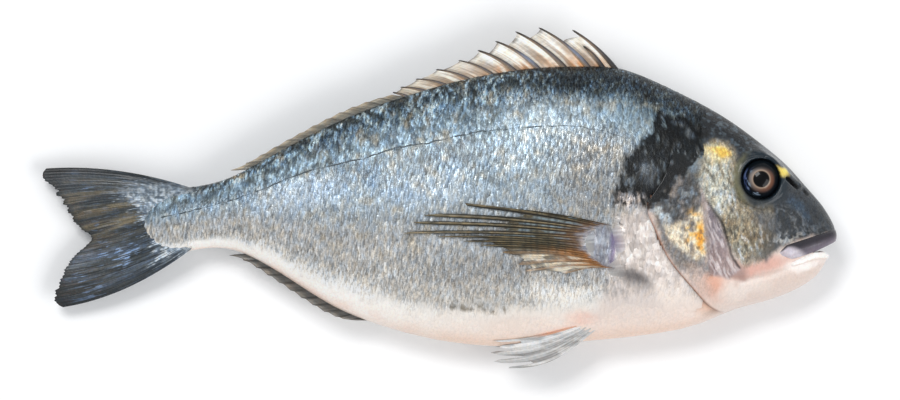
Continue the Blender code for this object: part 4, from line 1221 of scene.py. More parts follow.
@dataclass
class ScaleCoat:
    """The overlapping scales of one flank: thin plates in staggered columns, each sunk at its
    root and lifted a little at its free edge towards the tail."""

    form: BodyForm
    colours: FishColours
    relief: HeadRelief
    side: Side
    front: float = 62.0
    rear: float = -157.5
    last: float = -159.0  # no scale reaches further back
    along: tuple = (1.8, 2.5)  # spacing of columns at tail and shoulder
    across: tuple = (2.7, 4.6)  # spacing of rows
    rows: int = 6
    columns: int = 5
    lift: float = 0.13
    crown: float = 0.02
    seed: int = 11

    def centres(self) -> tuple[Array, Array, Array]:
        """Places x and girth shares q of all scales, with each one's height."""
        rng = np.random.default_rng(self.seed + self.side.value)
        xs, qs, sizes = [], [], []
        x, odd = self.rear, False
        while x < self.front:
            bulk = float(rise(-125, -30, np.array(x)))
            pitch = self.across[0] + (self.across[1] - self.across[0]) * bulk
            girth = float(self.form.girth(x * MM)) / MM
            count = max(int(girth / pitch), 3)
            q = (np.arange(count) + (0.75 if odd else 0.25)) / count
            q = q + rng.normal(0, 0.10, count) / count
            xs.append(np.full(count, x) + rng.normal(0, 0.25, count))
            qs.append(q)
            sizes.append(np.full(count, pitch))
            step = self.along[0] + (self.along[1] - self.along[0]) * bulk
            x, odd = x + step * 0.5, not odd
        return np.concatenate(xs) * MM, np.concatenate(qs), np.concatenate(sizes) * MM

    def surface(self, x: Array, q: Array) -> Array:
        """Points of the flank at place x and girth share q."""
        form = self.form
        t = form.depth_at(x, np.clip(q, 0, 1))
        y = form.level(x, t)
        half = form.half_width(x, t) + form.eye_pad(x, y)
        return np.stack([x, y, form.mid(x) + self.side.value * half], axis=-1)

    def shown(self, x: Array, y: Array) -> Array:
        """How strongly scales show: fully on the flank, not on the belly, hardly on the breast."""
        back, belly, _ = self.form.edges(x)
        share = (y - belly) / np.maximum(back - belly, 1e-6)
        place = np.stack([x, y, np.zeros_like(x)], axis=-1) / MM
        ragged = cloud(place.reshape(-1, 3), 5.0, 15).reshape(x.shape) - 0.5
        flank = rise(0.10, 0.17, share + 0.10 * ragged)
        breast = patch(place[..., 0], place[..., 1], self.colours.breast, 10.0)
        return flank * (1 - 0.5 * breast)

    def build(self, finish: Material) -> Object:
        """Makes the flank's scales as one mesh.

        A plate's own places a run from its root to its free edge and b across it. Its outline is
        an oval that is cut straight at the root; it rises by lift times a, domes across, and
        bends down at its rim.
        """
        form = self.form
        x0, q0, size = self.centres()
        t0 = form.depth_at(x0, q0)
        trunk = x0 < form.gill_x(t0) - 1.2 * MM
        nape = (t0 > 0.50) & (x0 < 58 * MM)
        shown = self.shown(x0, form.level(x0, t0))
        fringe = cloud(np.stack([x0, q0 * form.girth(x0), 0 * x0], -1) / MM, 3.0, 14)
        keep = (trunk | nape) & (q0 > 0.006) & (shown > 0.08)
        keep &= x0 / MM > self.last + 9 * (fringe - 0.3)
        x0, q0, size, shown = x0[keep], q0[keep], size[keep], shown[keep][:, None, None]
        rng = np.random.default_rng(self.seed + 5)
        a, b = np.meshgrid(np.linspace(0, 1, self.rows), np.linspace(-1, 1, self.columns),
                           indexing="ij")
        round_off = np.sqrt(np.clip(1 - np.clip((a - 0.4) / 0.62, 0, 1) ** 2.2, 0, 1))
        turn = rng.normal(0, 0.12, len(x0))[:, None, None]
        grow = rng.uniform(0.85, 1.15, len(x0))[:, None, None]
        down = (0.6 - a) * size[:, None, None] * grow * 0.85
        over = 0.80 * b * (0.3 + 0.7 * round_off) * size[:, None, None] * grow
        x = x0[:, None, None] + down * np.cos(turn) - over * np.sin(turn)
        x = np.clip(x, self.last * MM, None)
        q = q0[:, None, None] + (down * np.sin(turn) + over * np.cos(turn)) / form.girth(x)
        step = 0.15 * MM
        base = self.surface(x, q)
        normal = np.cross(
            self.surface(x + step, q) - base,
            self.surface(x, np.clip(q + step / form.girth(x), 0, 1))
            - self.surface(x, np.clip(q - step / form.girth(x), 0, 1)))
        normal /= np.maximum(np.linalg.norm(normal, axis=-1, keepdims=True), 1e-12)
        normal *= np.where(normal[..., 2:] * self.side.value < 0, -1.0, 1.0)
        rim = np.maximum(np.abs(b), np.clip((a - 0.5) * 2, 0, 1)) ** 6
        lift = rng.uniform(0.6, 1.4, len(x0))[:, None, None] * self.lift
        tilt = rng.normal(0, 0.025, len(x0))[:, None, None]
        height = lift * (a - 0.3) + tilt * b + self.crown * (1 - b**2) - 0.12 * rim
        height = height * (0.3 + 0.7 * shown) + 0.03
        place = base + normal * (height * MM + self.relief.height(x, base[..., 1]))[..., None]
        place[..., 2] = np.maximum(place[..., 2], (0.02 + 0.1 * (1 - rim)) * MM)
        cells = self.rows * self.columns
        index = np.arange(cells).reshape(self.rows, self.columns)
        faces = quads(index)[None] + (np.arange(len(x0)) * cells)[:, None, None]
        faces = faces.reshape(-1, 4)
        if self.side is Side.RIGHT:
            faces = faces[:, ::-1]
        paint = self.paint(base.reshape(-1, 3), rng, rim.ravel())
        plate = np.broadcast_to(np.stack([(b + 1) / 2, a], axis=-1), (len(x0), *b.shape, 2))
        name = f"scales_{self.side.name.lower()}"
        return put_piece(name, place.reshape(-1, 3), [faces], finish, paint.tint, paint.grain,
                         plate.reshape(-1, 2), closed=False)

    def paint(self, points: Array, rng: np.random.Generator, rim: Array) -> Paint:
        """The body's colours at every point, with a little chance in each plate's brightness
        and a darker rim, clearest on the shoulder."""
        form = self.form
        x, y, z = points.T
        paint = self.colours.trunk(form, x, y, z)
        back, belly, _ = form.edges(x)
        share = (y - belly) / np.maximum(back - belly, 1e-6)
        plates = len(points) // len(rim)
        bright = np.repeat(np.exp(rng.normal(0, 0.13, plates)), len(rim))
        paint.tint *= (1 + (bright - 1) * rise(0.1, 0.3, share))[:, None]
        paint.tint = np.clip(paint.tint, 0, 1)
        shoulder = 1 - rise(0.5, 1.2, spot(x / MM, y / MM, (14, 10), (30, 20), -15))
        paint.tint *= (1 - (0.04 + 0.42 * shoulder) * np.tile(rim**0.4, plates))[:, None]
        shown = self.shown(x, y)
        paint.grain = np.maximum(paint.grain, 0.1) * (0.25 + 0.75 * shown)
        paint.grain += 0.7 * rise(0.84, 0.93, share)
        return paint


@dataclass
class LateralLine:
    """The thin dark sense line along each flank: a narrow uneven ribbon over the scales."""

    form: BodyForm
    side: Side
    path: tuple = ((33, 27), (19.5, 31), (3.8, 32.9), (-16.5, 31.7), (-35.6, 29), (-49.3, 25.9),
                   (-60.2, 24.3), (-69.1, 21.2), (-75, 19.8), (-85.9, 17.4), (-99, 13.8),
                   (-112, 8.3), (-125.7, 3.6), (-134.3, 1.3), (-142.9, -0.7), (-152, -2.8))

    def build(self, finish: Material) -> Object:
        """Makes the ribbon: its edges wander by noise, and its middle stands a little higher."""
        count = 700
        centre = curve(self.path, np.linspace(0, 1, count))
        place = np.column_stack([centre, np.zeros(count)]) / MM
        wander = (cloud(place, 3.0, 31, 3) - 0.5) * 1.1 * MM
        width = (0.02 + 0.26 * rise(0.38, 0.62, cloud(place, 2.6, 33))) * MM
        width = width * (1 - 0.6 * rise(-15, 8, place[:, 0]))
        across = np.linspace(-1, 1, 5)[None, :]
        x = np.broadcast_to(centre[:, :1], (count, 5))
        y = centre[:, 1:2] + wander[:, None] + across * width[:, None]
        high = 0.36 * MM * (1 - 0.25 * across**2)
        z = self.form.flank(x, y, self.side)
        upper = np.stack([x, y, z + self.side.value * high], axis=-1)
        lower = np.stack([x, y, z - self.side.value * 0.3 * MM], axis=-1)
        for sheet in (upper, lower):
            sheet[..., 2] = np.maximum(sheet[..., 2], 0.03 * MM)
        points, faces = plate_mesh(upper, lower)
        name = f"lateral_line_{self.side.name.lower()}"
        return put_piece(name, points, [faces], finish, linear("#4d585e"), np.array(0.4))


@dataclass
class Mouth:
    """Both lips, bands that run round the snout from corner to corner of the mouth."""

    form: BodyForm
    upper_top: tuple = ((88.6, -16.2), (91.5, -13.2), (97.5, -11.2), (104.2, -9.1), (110.2, -7.2),
                        (112.0, -7.0))
    upper_low: tuple = ((90.0, -17.6), (93.5, -18.9), (97.8, -17.8), (103.6, -15.7),
                        (109.1, -13.1), (112.0, -11.6))
    lower_top: tuple = ((93.0, -20.6), (98.0, -18.3), (102.5, -16.4), (106.7, -16.3),
                        (108.2, -17.0), (110.0, -18.6))
    lower_low: tuple = ((93.0, -22.0), (98.0, -21.0), (102.5, -19.3), (106.0, -18.9),
                        (107.9, -19.0), (110.0, -20.2))
    columns: int = 180
    rows: int = 22

    def band(self, top: tuple, low: tuple) -> tuple[Array, Array]:
        """Points and outward normals of the head's surface between two lines.

        Each row follows its own line forward along the right cheek to where the head ends, and
        back along the left one; it is cut into steps of even length.
        """
        form = self.form
        top_line, low_line = np.array(top) * MM, np.array(low) * MM
        rows = []
        for v in np.linspace(0, 1, self.rows):
            line = top_line * (1 - v) + low_line * v
            x = np.linspace(line[0, 0], line[-1, 0], 1500)
            y = np.interp(x, line[:, 0], line[:, 1])
            half = form.half(x, y)
            last = int(np.argmax(half < 0.05 * MM)) or len(x) - 1
            x, y, half = x[: last + 1], y[: last + 1], half[: last + 1].copy()
            half[-1] = 0.0
            run = np.concatenate([[0], np.cumsum(np.sqrt(
                np.diff(x) ** 2 + np.diff(y) ** 2 + np.diff(half) ** 2))])
            share = np.abs(np.linspace(-1, 1, 2 * self.columns + 1))
            at = run[-1] * (1 - share)
            side = np.sign(np.linspace(1, -1, 2 * self.columns + 1))
            px = np.interp(at, run, x)
            rows.append(np.stack(
                [px, np.interp(at, run, y), form.mid(px) + side * np.interp(at, run, half)], -1))
        grid = np.stack(rows)
        normal = grid_normals(grid)
        middle = np.array([95 * MM, -15 * MM, form.middle])
        sign = np.sign(np.einsum("ijk,ijk->ij", normal, grid - middle))
        return grid, normal * np.where(sign == 0, 1, sign)[..., None]

    def lip(self, name: str, top: tuple, low: tuple, proud: Array, tint: Array,
            finish: Material) -> Object:
        """A closed lip whose outer face stands proud of the head by the given grid."""
        grid, normal = self.band(top, low)
        upper = grid + normal * (proud * MM)[..., None]
        lower = grid - normal * 1.5 * MM
        for sheet in (upper, lower):
            sheet[..., 2] = np.maximum(sheet[..., 2], 0.05 * MM)
        return put_plate(name, upper, lower, finish, tint, 0.18)

    def build(self, finish: Material) -> list[Object]:
        """Makes both lips: full in the middle of their height, sunk along the groove above."""
        v = np.linspace(0, 1, self.rows)[:, None]
        u = np.abs(np.linspace(-1, 1, 2 * self.columns + 1))[None, :]
        end = 1 - rise(0.93, 1.0, u)
        full = np.sin(math.pi * np.clip(v * 0.92 + 0.04, 0, 1)) ** 0.75
        plate = 0.5 * np.exp(-(((u - 0.78) / 0.14) ** 2)) * np.sin(math.pi * v)
        groove = -0.8 * np.exp(-((v / 0.10) ** 2))
        tip = 1 - 0.72 * np.exp(-((u / 0.16) ** 2))
        upper = ((1.25 * full + plate) * end + groove + 0.1 * (1 - end)) * tip
        pale = rise(0.70, 0.84, u + 0.22 * (v - 0.5)) * rise(0.05, 0.3, v)
        above, below = linear("#343137"), linear("#716873")
        dark = above + (below - above) * rise(0.3, 0.9, v)[..., None]
        tint = dark + (linear("#c9c0c8") - dark) * pale[..., None]
        # painted shade along the groove at the top of the upper lip
        tint = tint * (1 - 0.75 * np.exp(-((v / 0.09) ** 2)))[..., None]
        pieces = [self.lip("upper_lip", self.upper_top, self.upper_low, upper, tint, finish)]
        low = 0.55 * np.sin(math.pi * np.clip(v * 0.9 + 0.02, 0, 1)) ** 0.8 * end - 0.25 * (1 - end)
        low = (low - 0.25 * rise(0.75, 1.0, v)) * tip
        above, below = linear("#faf1eb"), linear("#ecd8ce")
        rose = above + (below - above) * rise(0.55, 1.0, v)[..., None]
        rose = np.broadcast_to(rose, (self.rows, 2 * self.columns + 1, 3))
        pieces.append(self.lip("lower_lip", self.lower_top, self.lower_low, low, rose, finish))
        return pieces


@dataclass
class Eye:
    """One eyeball: a flattened ball whose iris rings are painted by distance from its axis."""

    form: BodyForm
    side: Side
    radii: tuple = (7.4, 7.8, 6.4)
    proud: float = 1.9
    # distance from the pupil's middle in millimetres, and colour
    rings: tuple = (
        (0.0, "#010102"),
        (2.95, "#020203"),
        (3.15, "#4a3c35"),
        (3.40, "#ab9884"),
        (3.62, "#86705f"),
        (4.1, "#54463e"),
        (4.8, "#2e2827"),
        (5.5, "#15171b"),
        (6.4, "#10171e"),
        (7.0, "#1a2730"),
        (7.8, "#0e151a"),
    )

    def build(self, finish: Material) -> Object:
        """Makes the eyeball: points run round it on circles from the pupil to the back."""
        form = self.form
        rings, around = 110, 140
        polar = np.linspace(0, math.pi, rings + 1)[1:-1, None]
        turn = np.linspace(0, 2 * math.pi, around, endpoint=False)[None, :]
        unit = np.stack([np.sin(polar) * np.cos(turn), np.sin(polar) * np.sin(turn),
                         np.cos(polar) * np.ones_like(turn)], axis=-1)
        ex, ey = form.eye
        level = float(form.flank(np.array(ex), np.array(ey), self.side))
        centre = np.array([ex, ey, level - self.side.value * (self.radii[2] - self.proud) * MM])
        scale = np.array([*self.radii[:2], self.radii[2] * self.side.value]) * MM
        poles = np.array([[0, 0, 1.0], [0, 0, -1.0]])
        ball = np.concatenate([unit.reshape(-1, 3), poles])
        index = np.arange((rings - 1) * around).reshape(rings - 1, around)
        index = np.concatenate([index, index[:, :1]], axis=1)
        front, rear = index.size - len(index), index.size - len(index) + 1
        caps = [np.stack([np.full(around, front), index[0, :-1], index[0, 1:]], axis=-1),
                np.stack([np.full(around, rear), index[-1, 1:], index[-1, :-1]], axis=-1)]
        points = centre + ball * scale
        name = f"eye_ball_{self.side.name.lower()}"
        return put_piece(name, points, [quads(index), *caps], finish, self.paint(ball))

    def paint(self, ball: Array) -> Array:
        """Iris colours: rings round the pupil, copper towards the snout and blue behind."""
        dx, dy = ball[:, 0] * self.radii[0], ball[:, 1] * self.radii[1]
        stretch = 1 - 0.06 * np.clip((dx - dy) / 8, -1, 1)
        away = np.hypot(dx, dy) * stretch
        away = np.where(ball[:, 2] < 0, 8.0, away)
        stops = np.array([s for s, _ in self.rings])
        palette = np.array([linear(c) for _, c in self.rings])
        colour = np.stack([np.interp(away, stops, palette[:, k]) for k in range(3)], axis=-1)
        turn = np.arctan2(dy, dx)
        iris = rise(3.3, 3.8, away) * (1 - rise(4.3, 5.4, away))
        flecks = cloud(np.column_stack([away * 1.6, turn * 2.2, 0 * turn]), 1.0, 63)
        coats = (
            ("#7a4a33", 0.6 * iris * (0.5 + 0.5 * np.cos(turn + 0.4)) ** 2),
            ("#a8a09c", 0.5 * iris * (0.5 - 0.5 * np.cos(turn + 0.6)) ** 2),
            # painted glints: grey-blue flecks on the iris's outer ring towards the tail
            ("#8da0b4", 0.8 * rise(0.56, 0.68, flecks) * rise(4.4, 5.2, away)
             * (1 - rise(6.6, 7.2, away)) * rise(-0.2, 0.6, -np.cos(turn - 0.5))),
            ("#5c6ea6", 0.60 * rise(5.4, 6.2, away) * (1 - rise(6.8, 7.5, away))
             * rise(0.3, 0.95, -np.cos(turn + 0.25)) * rise(0.40, 0.6, flecks)),
            # painted shade from the brow over the eye's upper part
            ("#0d1216", 0.80 * rise(1.5, 5.5, dy) * rise(3.5, 4.4, away)),
        )
        for code, strength in coats:
            colour += (linear(code) - colour) * strength[:, None]
        return colour


@dataclass
class SpinyDorsal:
    """The front dorsal fin: eleven stiff spines and the cream web between them."""

    form: BodyForm
    # root place, tip (x, y) and forward bow of each spine, in millimetres
    spines: tuple = (
        (27.0, (8.6, 70.4), 1.4),
        (21.6, (12.9, 64.1), 0.8),
        (16.4, (-4.5, 71.3), 1.6),
        (7.2, (-13.6, 69.7), 1.5),
        (-3.0, (-21.4, 66.0), 1.4),
        (-12.0, (-28.3, 62.4), 1.2),
        (-20.4, (-35.8, 58.5), 1.1),
        (-29.3, (-44.6, 54.9), 1.0),
        (-38.0, (-52.5, 51.2), 0.8),
        (-46.0, (-58.5, 48.0), 0.6),
        (-53.5, (-61.5, 46.0), 0.4),
    )
    root_depth: float = 2.4
    webbed: tuple = (0, 2, 3, 4, 5, 6, 7, 8, 9, 10)  # spines that the web hangs between
    radius: float = 1.15
    reach: tuple = (0.80, 0.93)  # share of the next spine that the web climbs, front and rear
    sag: float = 0.07
    zigzag: float = 0.7
    sides: int = 14

    def path(self, spine: int, share: Array) -> Array:
        """Points of a spine: a straight line bowed forward by a parabola."""
        root_x, tip, bow = self.spines[spine]
        root = np.array([root_x, float(self.form.edges(np.array(root_x * MM))[0]) / MM
                         - self.root_depth])
        line = np.array(tip) - root
        across = np.array([-line[1], line[0]]) / np.linalg.norm(line)
        share = np.asarray(share, float)[..., None]
        return (root + line * share - across * (4 * bow * share * (1 - share))) * MM

    def spine_mesh(self, spine: int) -> tuple[Array, list[Array], Array, Array]:
        """One spine: circles strung along its path that taper to the tip, closed at both ends."""
        steps = 26
        share = np.linspace(0, 1, steps)
        flat = self.path(spine, share)
        lean = self.zigzag * MM * (1 if spine % 2 else -1) * share
        centre = np.column_stack([flat, self.form.mid(flat[:, 0]) + lean])
        way = np.gradient(centre, axis=0)
        way /= np.linalg.norm(way, axis=1, keepdims=True)
        across = np.cross(way, [0, 0, 1.0])
        up = np.cross(across, way)
        angle = np.linspace(0, 2 * math.pi, self.sides, endpoint=False)
        size = self.radius * MM * (1 - 0.70 * share**1.1) * (1.0 if spine < 6 else 0.75)
        size[-1] *= 0.3
        ring = (across[:, None] * np.cos(angle)[None, :, None]
                + up[:, None] * np.sin(angle)[None, :, None]) * size[:, None, None]
        points = (centre[:, None] + ring).reshape(-1, 3)
        index = np.arange(steps * self.sides).reshape(steps, self.sides)
        index = np.concatenate([index, index[:, :1]], axis=1)
        ends = [index[0, :-1][None], index[-1, :-1][None, ::-1]]
        shade = np.repeat(share, self.sides)
        around = np.tile(angle, steps)
        return points, [quads(index), *ends], shade, around

    def build_spines(self, finish: Material) -> Object:
        """Makes all spines as one piece: brown-grey with a blue sheen on the upper side."""
        points, four, many, tints, plates, first = [], [], [], [], [], 0
        for spine in range(len(self.spines)):
            part, faces, share, around = self.spine_mesh(spine)
            points.append(part)
            four.append(faces[0] + first)
            many += [end + first for end in faces[1:]]
            paint = Paint("#675a4e", share.shape)
            paint.lay("#b39b82", 0.75 * rise(-0.1, 0.8, -np.cos(around)))
            paint.lay("#2b2727", 0.9 * rise(0.2, 0.9, np.cos(around)))
            paint.lay("#93a6c4", (0.1 + 0.4 * (spine in (2, 4))) * rise(0.2, 0.9, np.sin(
                around + 0.5)) * np.exp(-(((share - 0.36) / 0.18) ** 2)))
            paint.lay("#1f1e1f", 0.85 * rise(0.72, 0.97, share))
            paint.lay("#23262a", 0.8 * (spine < 2) * (1 - rise(0.2, 0.7, share)))
            tints.append(paint.tint)
            plates.append(np.column_stack([around / 2, share * 0.4]))
            first += len(part)
        return put_piece("dorsal_spines", np.concatenate(points),
                         [np.concatenate(four), np.concatenate(many)], finish,
                         np.concatenate(tints), np.array(0.35), np.concatenate(plates))

    def build_web(self, finish: Material) -> Object:
        """Makes the web: between two spines it is a ruled sheet that leaves the front spine at
        its tip and reaches part of the way up the next, hanging a little between them."""
        per_gap, rows = 22, 34
        gaps = len(self.webbed) - 1
        v = np.linspace(0, 1, rows)
        columns, places = [], []
        for gap in range(gaps):
            before, after = self.webbed[gap], self.webbed[gap + 1]
            for s in np.linspace(0, 1, per_gap, endpoint=gap == gaps - 1):
                slack = self.sag * 4 * s * (1 - s)
                hang = 0.97 * (1 - slack - (0.16 if gap == 0 else 0.0) * (1 - s))
                low = 0.62 if gap == 0 else self.reach[0] + (self.reach[1] - self.reach[0]) * float(
                    rise(3.0, 6.0, np.array(gap)))
                reach = 1 - (1 - low) * s
                front = self.path(before, v * hang)
                flat = front * (1 - s) + self.path(after, v * reach * hang) * s
                sway = [self.zigzag * (1 if k % 2 else -1) for k in (before, after)]
                lean = sway[0] * (1 - s) + sway[1] * s + 0.3 * math.sin(2 * math.pi * s)
                columns.append(np.column_stack([flat, self.form.mid(flat[:, 0]) + lean * v * MM]))
                places.append(gap + s)
        grid = np.stack(columns)
        thick = (0.32 - 0.2 * v)[None, :, None] * MM * np.array([0, 0, 1.0])
        place = np.array(places)[:, None] * np.ones((1, rows))
        share = place - np.floor(place)
        height = np.broadcast_to(v[None, :], place.shape)
        drawn = np.stack([place * 5.0, height * 1.6, 0 * height], axis=-1).reshape(-1, 3)
        threads = cloud(drawn, 1.0, 41).reshape(place.shape)
        blur = cloud(grid.reshape(-1, 3) / MM, 4.0, 42).reshape(place.shape)
        paint = Paint("#efe6d6", place.shape, 0.35)
        paint.lay("#fbf7ef", 0.85 * rise(0.3, 0.6, height) * rise(0.3, 0.6, blur) * (
            1 - rise(4.5, 7.5, place)))
        paint.lay("#d5893f", 0.95 * (1 - rise(0.0, 0.50, height + 0.5 * (blur - 0.5))) * rise(
            0.30, 0.54, threads) * (1 - rise(0.55, 0.95, share)))
        paint.lay("#9c7450", 0.62 * rise(0.42, 0.62, threads) * (1 - rise(0.4, 0.9, height)))
        paint.lay("#6c6056", 0.62 * rise(0.6, 0.97, share) * rise(0.0, 0.25, height))
        paint.lay("#7a6a58", 0.3 * rise(0.52, 0.68, threads))
        paint.lay("#8b7a5f", 0.3 * rise(4.5, 8.5, place))
        paint.lay("#453f3a", 0.7 * rise(0.90, 1.0, height) * rise(0.4, 0.6, blur + 0.1 * place / 9))
        plate = np.stack([place * 2.0, height * 0.3], axis=-1)
        return put_plate("dorsal_web", grid + thick, grid - thick, finish, paint.tint, 0.35, plate)


def ray_wave(place: Array) -> Array:
    """1 on each whole number, where a ray lies, and -1 midway between two."""
    return np.cos(2 * math.pi * place)


@dataclass
class FoldedFin:
    """A soft fin laid back along the body's edge: its rays overlap like a closed fan."""

    form: BodyForm
    name: str
    span: tuple
    heights: tuple
    rays: int
    outward: int
    colours: tuple  # root, middle and edge
    lean: float = 9.0
    free_tip: float = 2.0
    thickness: float = 1.3

    def build(self, finish: Material) -> Object:
        """Makes the strip; each ray's edge stands over the next, a saw-tooth across the rays."""
        columns, rows = (self.rays - 1) * 12 + 1, 16
        u = np.linspace(0, 1, columns)[:, None]
        v = np.linspace(0, 1, rows)[None, :]
        root = (self.span[0] + (self.span[1] - self.span[0]) * u) * MM
        place = u * (self.rays - 1)
        part = place - np.floor(place)
        height = between(self.heights, u[:, 0])[:, None] * MM
        last = np.clip((u - 0.86) / 0.14, 0, 1)
        notch = 1 - 0.16 * part * (1 - last) - 0.3 * np.sin(math.pi * part) * last
        x = root - (self.lean + last * self.free_tip) * MM * v * notch
        index = 1 if self.outward > 0 else 2
        edge = np.interp(x, self.form.outline[:, 0], self.form.outline[:, index])
        y = edge + self.outward * (height * v * notch - 2.0 * MM * (1 - v))
        y = y + self.outward * last * v * 1.2 * MM
        saw = (0.5 - part) * 0.55 * MM * v
        z = self.form.mid(x) + saw
        grid = np.stack(np.broadcast_arrays(x, y, z), axis=-1)
        thick = (self.thickness / 2 - 0.5 * v)[..., None] * MM * np.array([0, 0, 1.0])
        noise = cloud(grid.reshape(-1, 3) / MM, 5.0, 43).reshape(grid.shape[:2])
        root_c, mid_c, edge_c = (linear(c) for c in self.colours)
        tint = root_c + (mid_c - root_c) * rise(0.1, 0.6, v + 0.3 * (noise - 0.5))[..., None]
        tint = tint + (edge_c - tint) * rise(0.65, 1.0, v + 0.2 * (noise - 0.5))[..., None]
        ray = np.exp(-((np.minimum(part, 1 - part) / 0.12) ** 2))
        tint = tint * (1 - 0.45 * ray * rise(0.1, 0.4, v))[..., None]
        plate = np.stack(np.broadcast_arrays(place, v * 0.25), axis=-1)
        return put_plate(self.name, grid + thick, grid - thick, finish, tint, 0.55, plate)


@dataclass
class TailFin:
    """The forked tail: rays fan out from the scaled root and split into threads at the edge."""

    form: BodyForm
    root: tuple = ((-137.0, 7.6), (-147.0, 3.4), (-150.0, -4.0), (-147.5, -11.4), (-140.0, -15.0))
    edge: tuple = (
        (-197.4, 16.4),
        (-199.2, 13.6),
        (-195.6, 7.0),
        (-189.0, -1.2),
        (-182.6, -8.8),
        (-180.2, -10.8),
        (-184.2, -15.4),
        (-190.4, -22.6),
        (-193.8, -30.6),
        (-194.6, -35.0),
        (-190.8, -38.0),
    )
    bows: tuple = (3.2, 3.8)
    rays: int = 17
    per_gap: int = 16
    rows: int = 110

    def build(self, finish: Material) -> Object:
        """Makes the tail: straight rays bowed outwards near both edges; ridges on the rays fade
        into finer ones where they split, and the web falls a little short between the tips."""
        columns = (self.rays - 1) * self.per_gap + 1
        u = np.linspace(0, 1, columns)
        v = np.linspace(0, 1, self.rows)[None, :]
        place = u * (self.rays - 1)
        wave = ray_wave(place)[:, None]
        split = ray_wave(place * 3)[:, None]
        rng = np.random.default_rng(17)
        ragged = between(rng.uniform(0, 1, self.rays * 3), u)[:, None]
        inner = np.minimum(rise(0.02, 0.12, u), 1 - rise(0.90, 0.985, u))[:, None]
        torn = 0.05 * between(rng.uniform(0, 1, self.rays * 6), u)[:, None] * (
            rise(0.03, 0.08, u) * (1 - rise(0.16, 0.30, u)))[:, None]
        reach = v * (1 - inner * (0.006 * (1 - wave) + 0.006 * (1 - split) + 0.022 * ragged) - torn)
        start, end = curve(self.root, u), curve(self.edge, u)
        flat = start[:, None] + (end - start)[:, None] * reach[..., None]
        spread = (1 - 2 * u)[:, None]
        bow = np.where(spread > 0, self.bows[0], self.bows[1]) * MM
        y = flat[..., 1] + bow * 4 * reach * (1 - reach) * spread
        x = flat[..., 0]
        drawn = np.stack(np.broadcast_arrays(u[:, None] * 60, v * 3, 0 * v), axis=-1).reshape(-1, 3)
        uneven = cloud(drawn, 1.0, 56).reshape(columns, self.rows)
        ridge = uneven * (0.4 * wave * (1 - rise(0.25, 0.7, v)) + 0.06 * split * rise(0.2, 0.6, v))
        billow = 0.9 * np.sin(u * 9.0)[:, None] * v**2
        grid = np.stack([x, y, self.form.mid(x) + billow * MM], axis=-1)
        half = (0.5 - 0.33 * v + 2.0 * (1 - rise(0, 0.45, v)) + ridge * 0.5)[..., None] * MM
        half = half * [0, 0, 1.0]
        tint = self.paint(grid, u[:, None], v, wave, split)
        plate = np.stack(np.broadcast_arrays(place[:, None] * 1.3, v), axis=-1)
        return put_plate("tail_fin", grid + half, grid - half, finish, tint, 0.5, plate)

    def paint(self, grid: Array, u: Array, v: Array, wave: Array, split: Array) -> Array:
        """Grey with olive-brown webs in the middle, blue glints, and black tips and edges."""
        shape = grid.shape[:2]
        haze = cloud(grid.reshape(-1, 3) / MM, 9.0, 51, 3).reshape(shape)

        def along(across: float, down: float, seed: int) -> Array:
            """Noise drawn out along the rays."""
            drawn = np.stack(np.broadcast_arrays(u * across, v * down, 0 * u * v), axis=-1)
            return cloud(drawn.reshape(-1, 3), 1.0, seed).reshape(shape)

        threads, glints, lines = along(30, 2.2, 52), along(120, 12, 53), along(150, 4, 54)
        bundles = along(13, 1.4, 57)
        flecks = cloud(grid.reshape(-1, 3) / MM, 1.0, 55).reshape(shape)
        paint = Paint("#51575a", shape)
        web = 1 - rise(-0.5, 0.7, wave)
        middle = rise(0.04, 0.2, u) * (1 - rise(0.48, 0.66, u))
        paint.lay("#7b6e51", 0.66 * rise(0.36, 0.64, threads) * middle)
        paint.lay("#857763", 0.55 * web * rise(0.36, 0.6, bundles) * rise(0.4, 0.85, v))
        paint.lay("#55657b", 0.6 * rise(0.44, 0.66, threads) * rise(0.52, 0.66, u))
        paint.lay("#252b2e", 0.6 * (1 - rise(0.30, 0.54, threads)))
        paint.lay("#1b2022", 0.7 * rise(0.48, 0.64, lines))
        paint.lay("#272c2d", 0.55 * rise(0.52, 0.68, bundles))
        # painted glints: blue streaks along the rays and a silver streak near the upper edge's root
        shine = rise(0.60, 0.68, glints) * rise(0.06, 0.2, v) * (1 - rise(0.78, 0.95, v))
        near = np.exp(-(((v - 0.42) / 0.16) ** 2) - (((u - 0.17) / 0.09) ** 2))
        paint.lay("#8fabd2", shine * (0.10 + 0.75 * rise(0.46, 0.60, haze)))
        paint.lay("#b9c9da", 0.6 * rise(0.50, 0.62, glints) * near)
        outer = np.maximum(1 - rise(0.03, 0.10, u), 0.7 * rise(0.90, 0.97, u))
        paint.lay("#1c2124", 0.9 * outer * rise(-0.1, 0.2, v))
        far = 0.30 - 0.16 * rise(0.42, 0.6, u) + 0.16 * np.exp(-(((u - 0.22) / 0.09) ** 2))
        base = (1 - rise(-0.06, 0.05, v - far + 0.45 * (glints - 0.5))) * (1 - 0.8 * outer)
        paint.lay("#93a1ae", 0.9 * base)
        paint.lay("#dbe6ef", 0.75 * base * rise(0.50, 0.64, flecks))
        paint.lay("#56636e", 0.75 * base * (1 - rise(0.34, 0.46, flecks)))
        tips = rise(0.80, 1.0, v + 0.3 * (haze - 0.5)) * np.maximum(
            1 - rise(0.08, 0.26, u), 0.55 * rise(0.76, 0.92, u))
        paint.lay("#0b0f11", 0.93 * tips)
        paint.lay("#323b42", 0.40 * rise(0.02, 0.06, u) * (1 - rise(0.18, 0.34, u)))
        paint.lay("#24292b", 0.7 * rise(0.94, 1.0, v))
        return paint.tint.reshape(-1, 3)


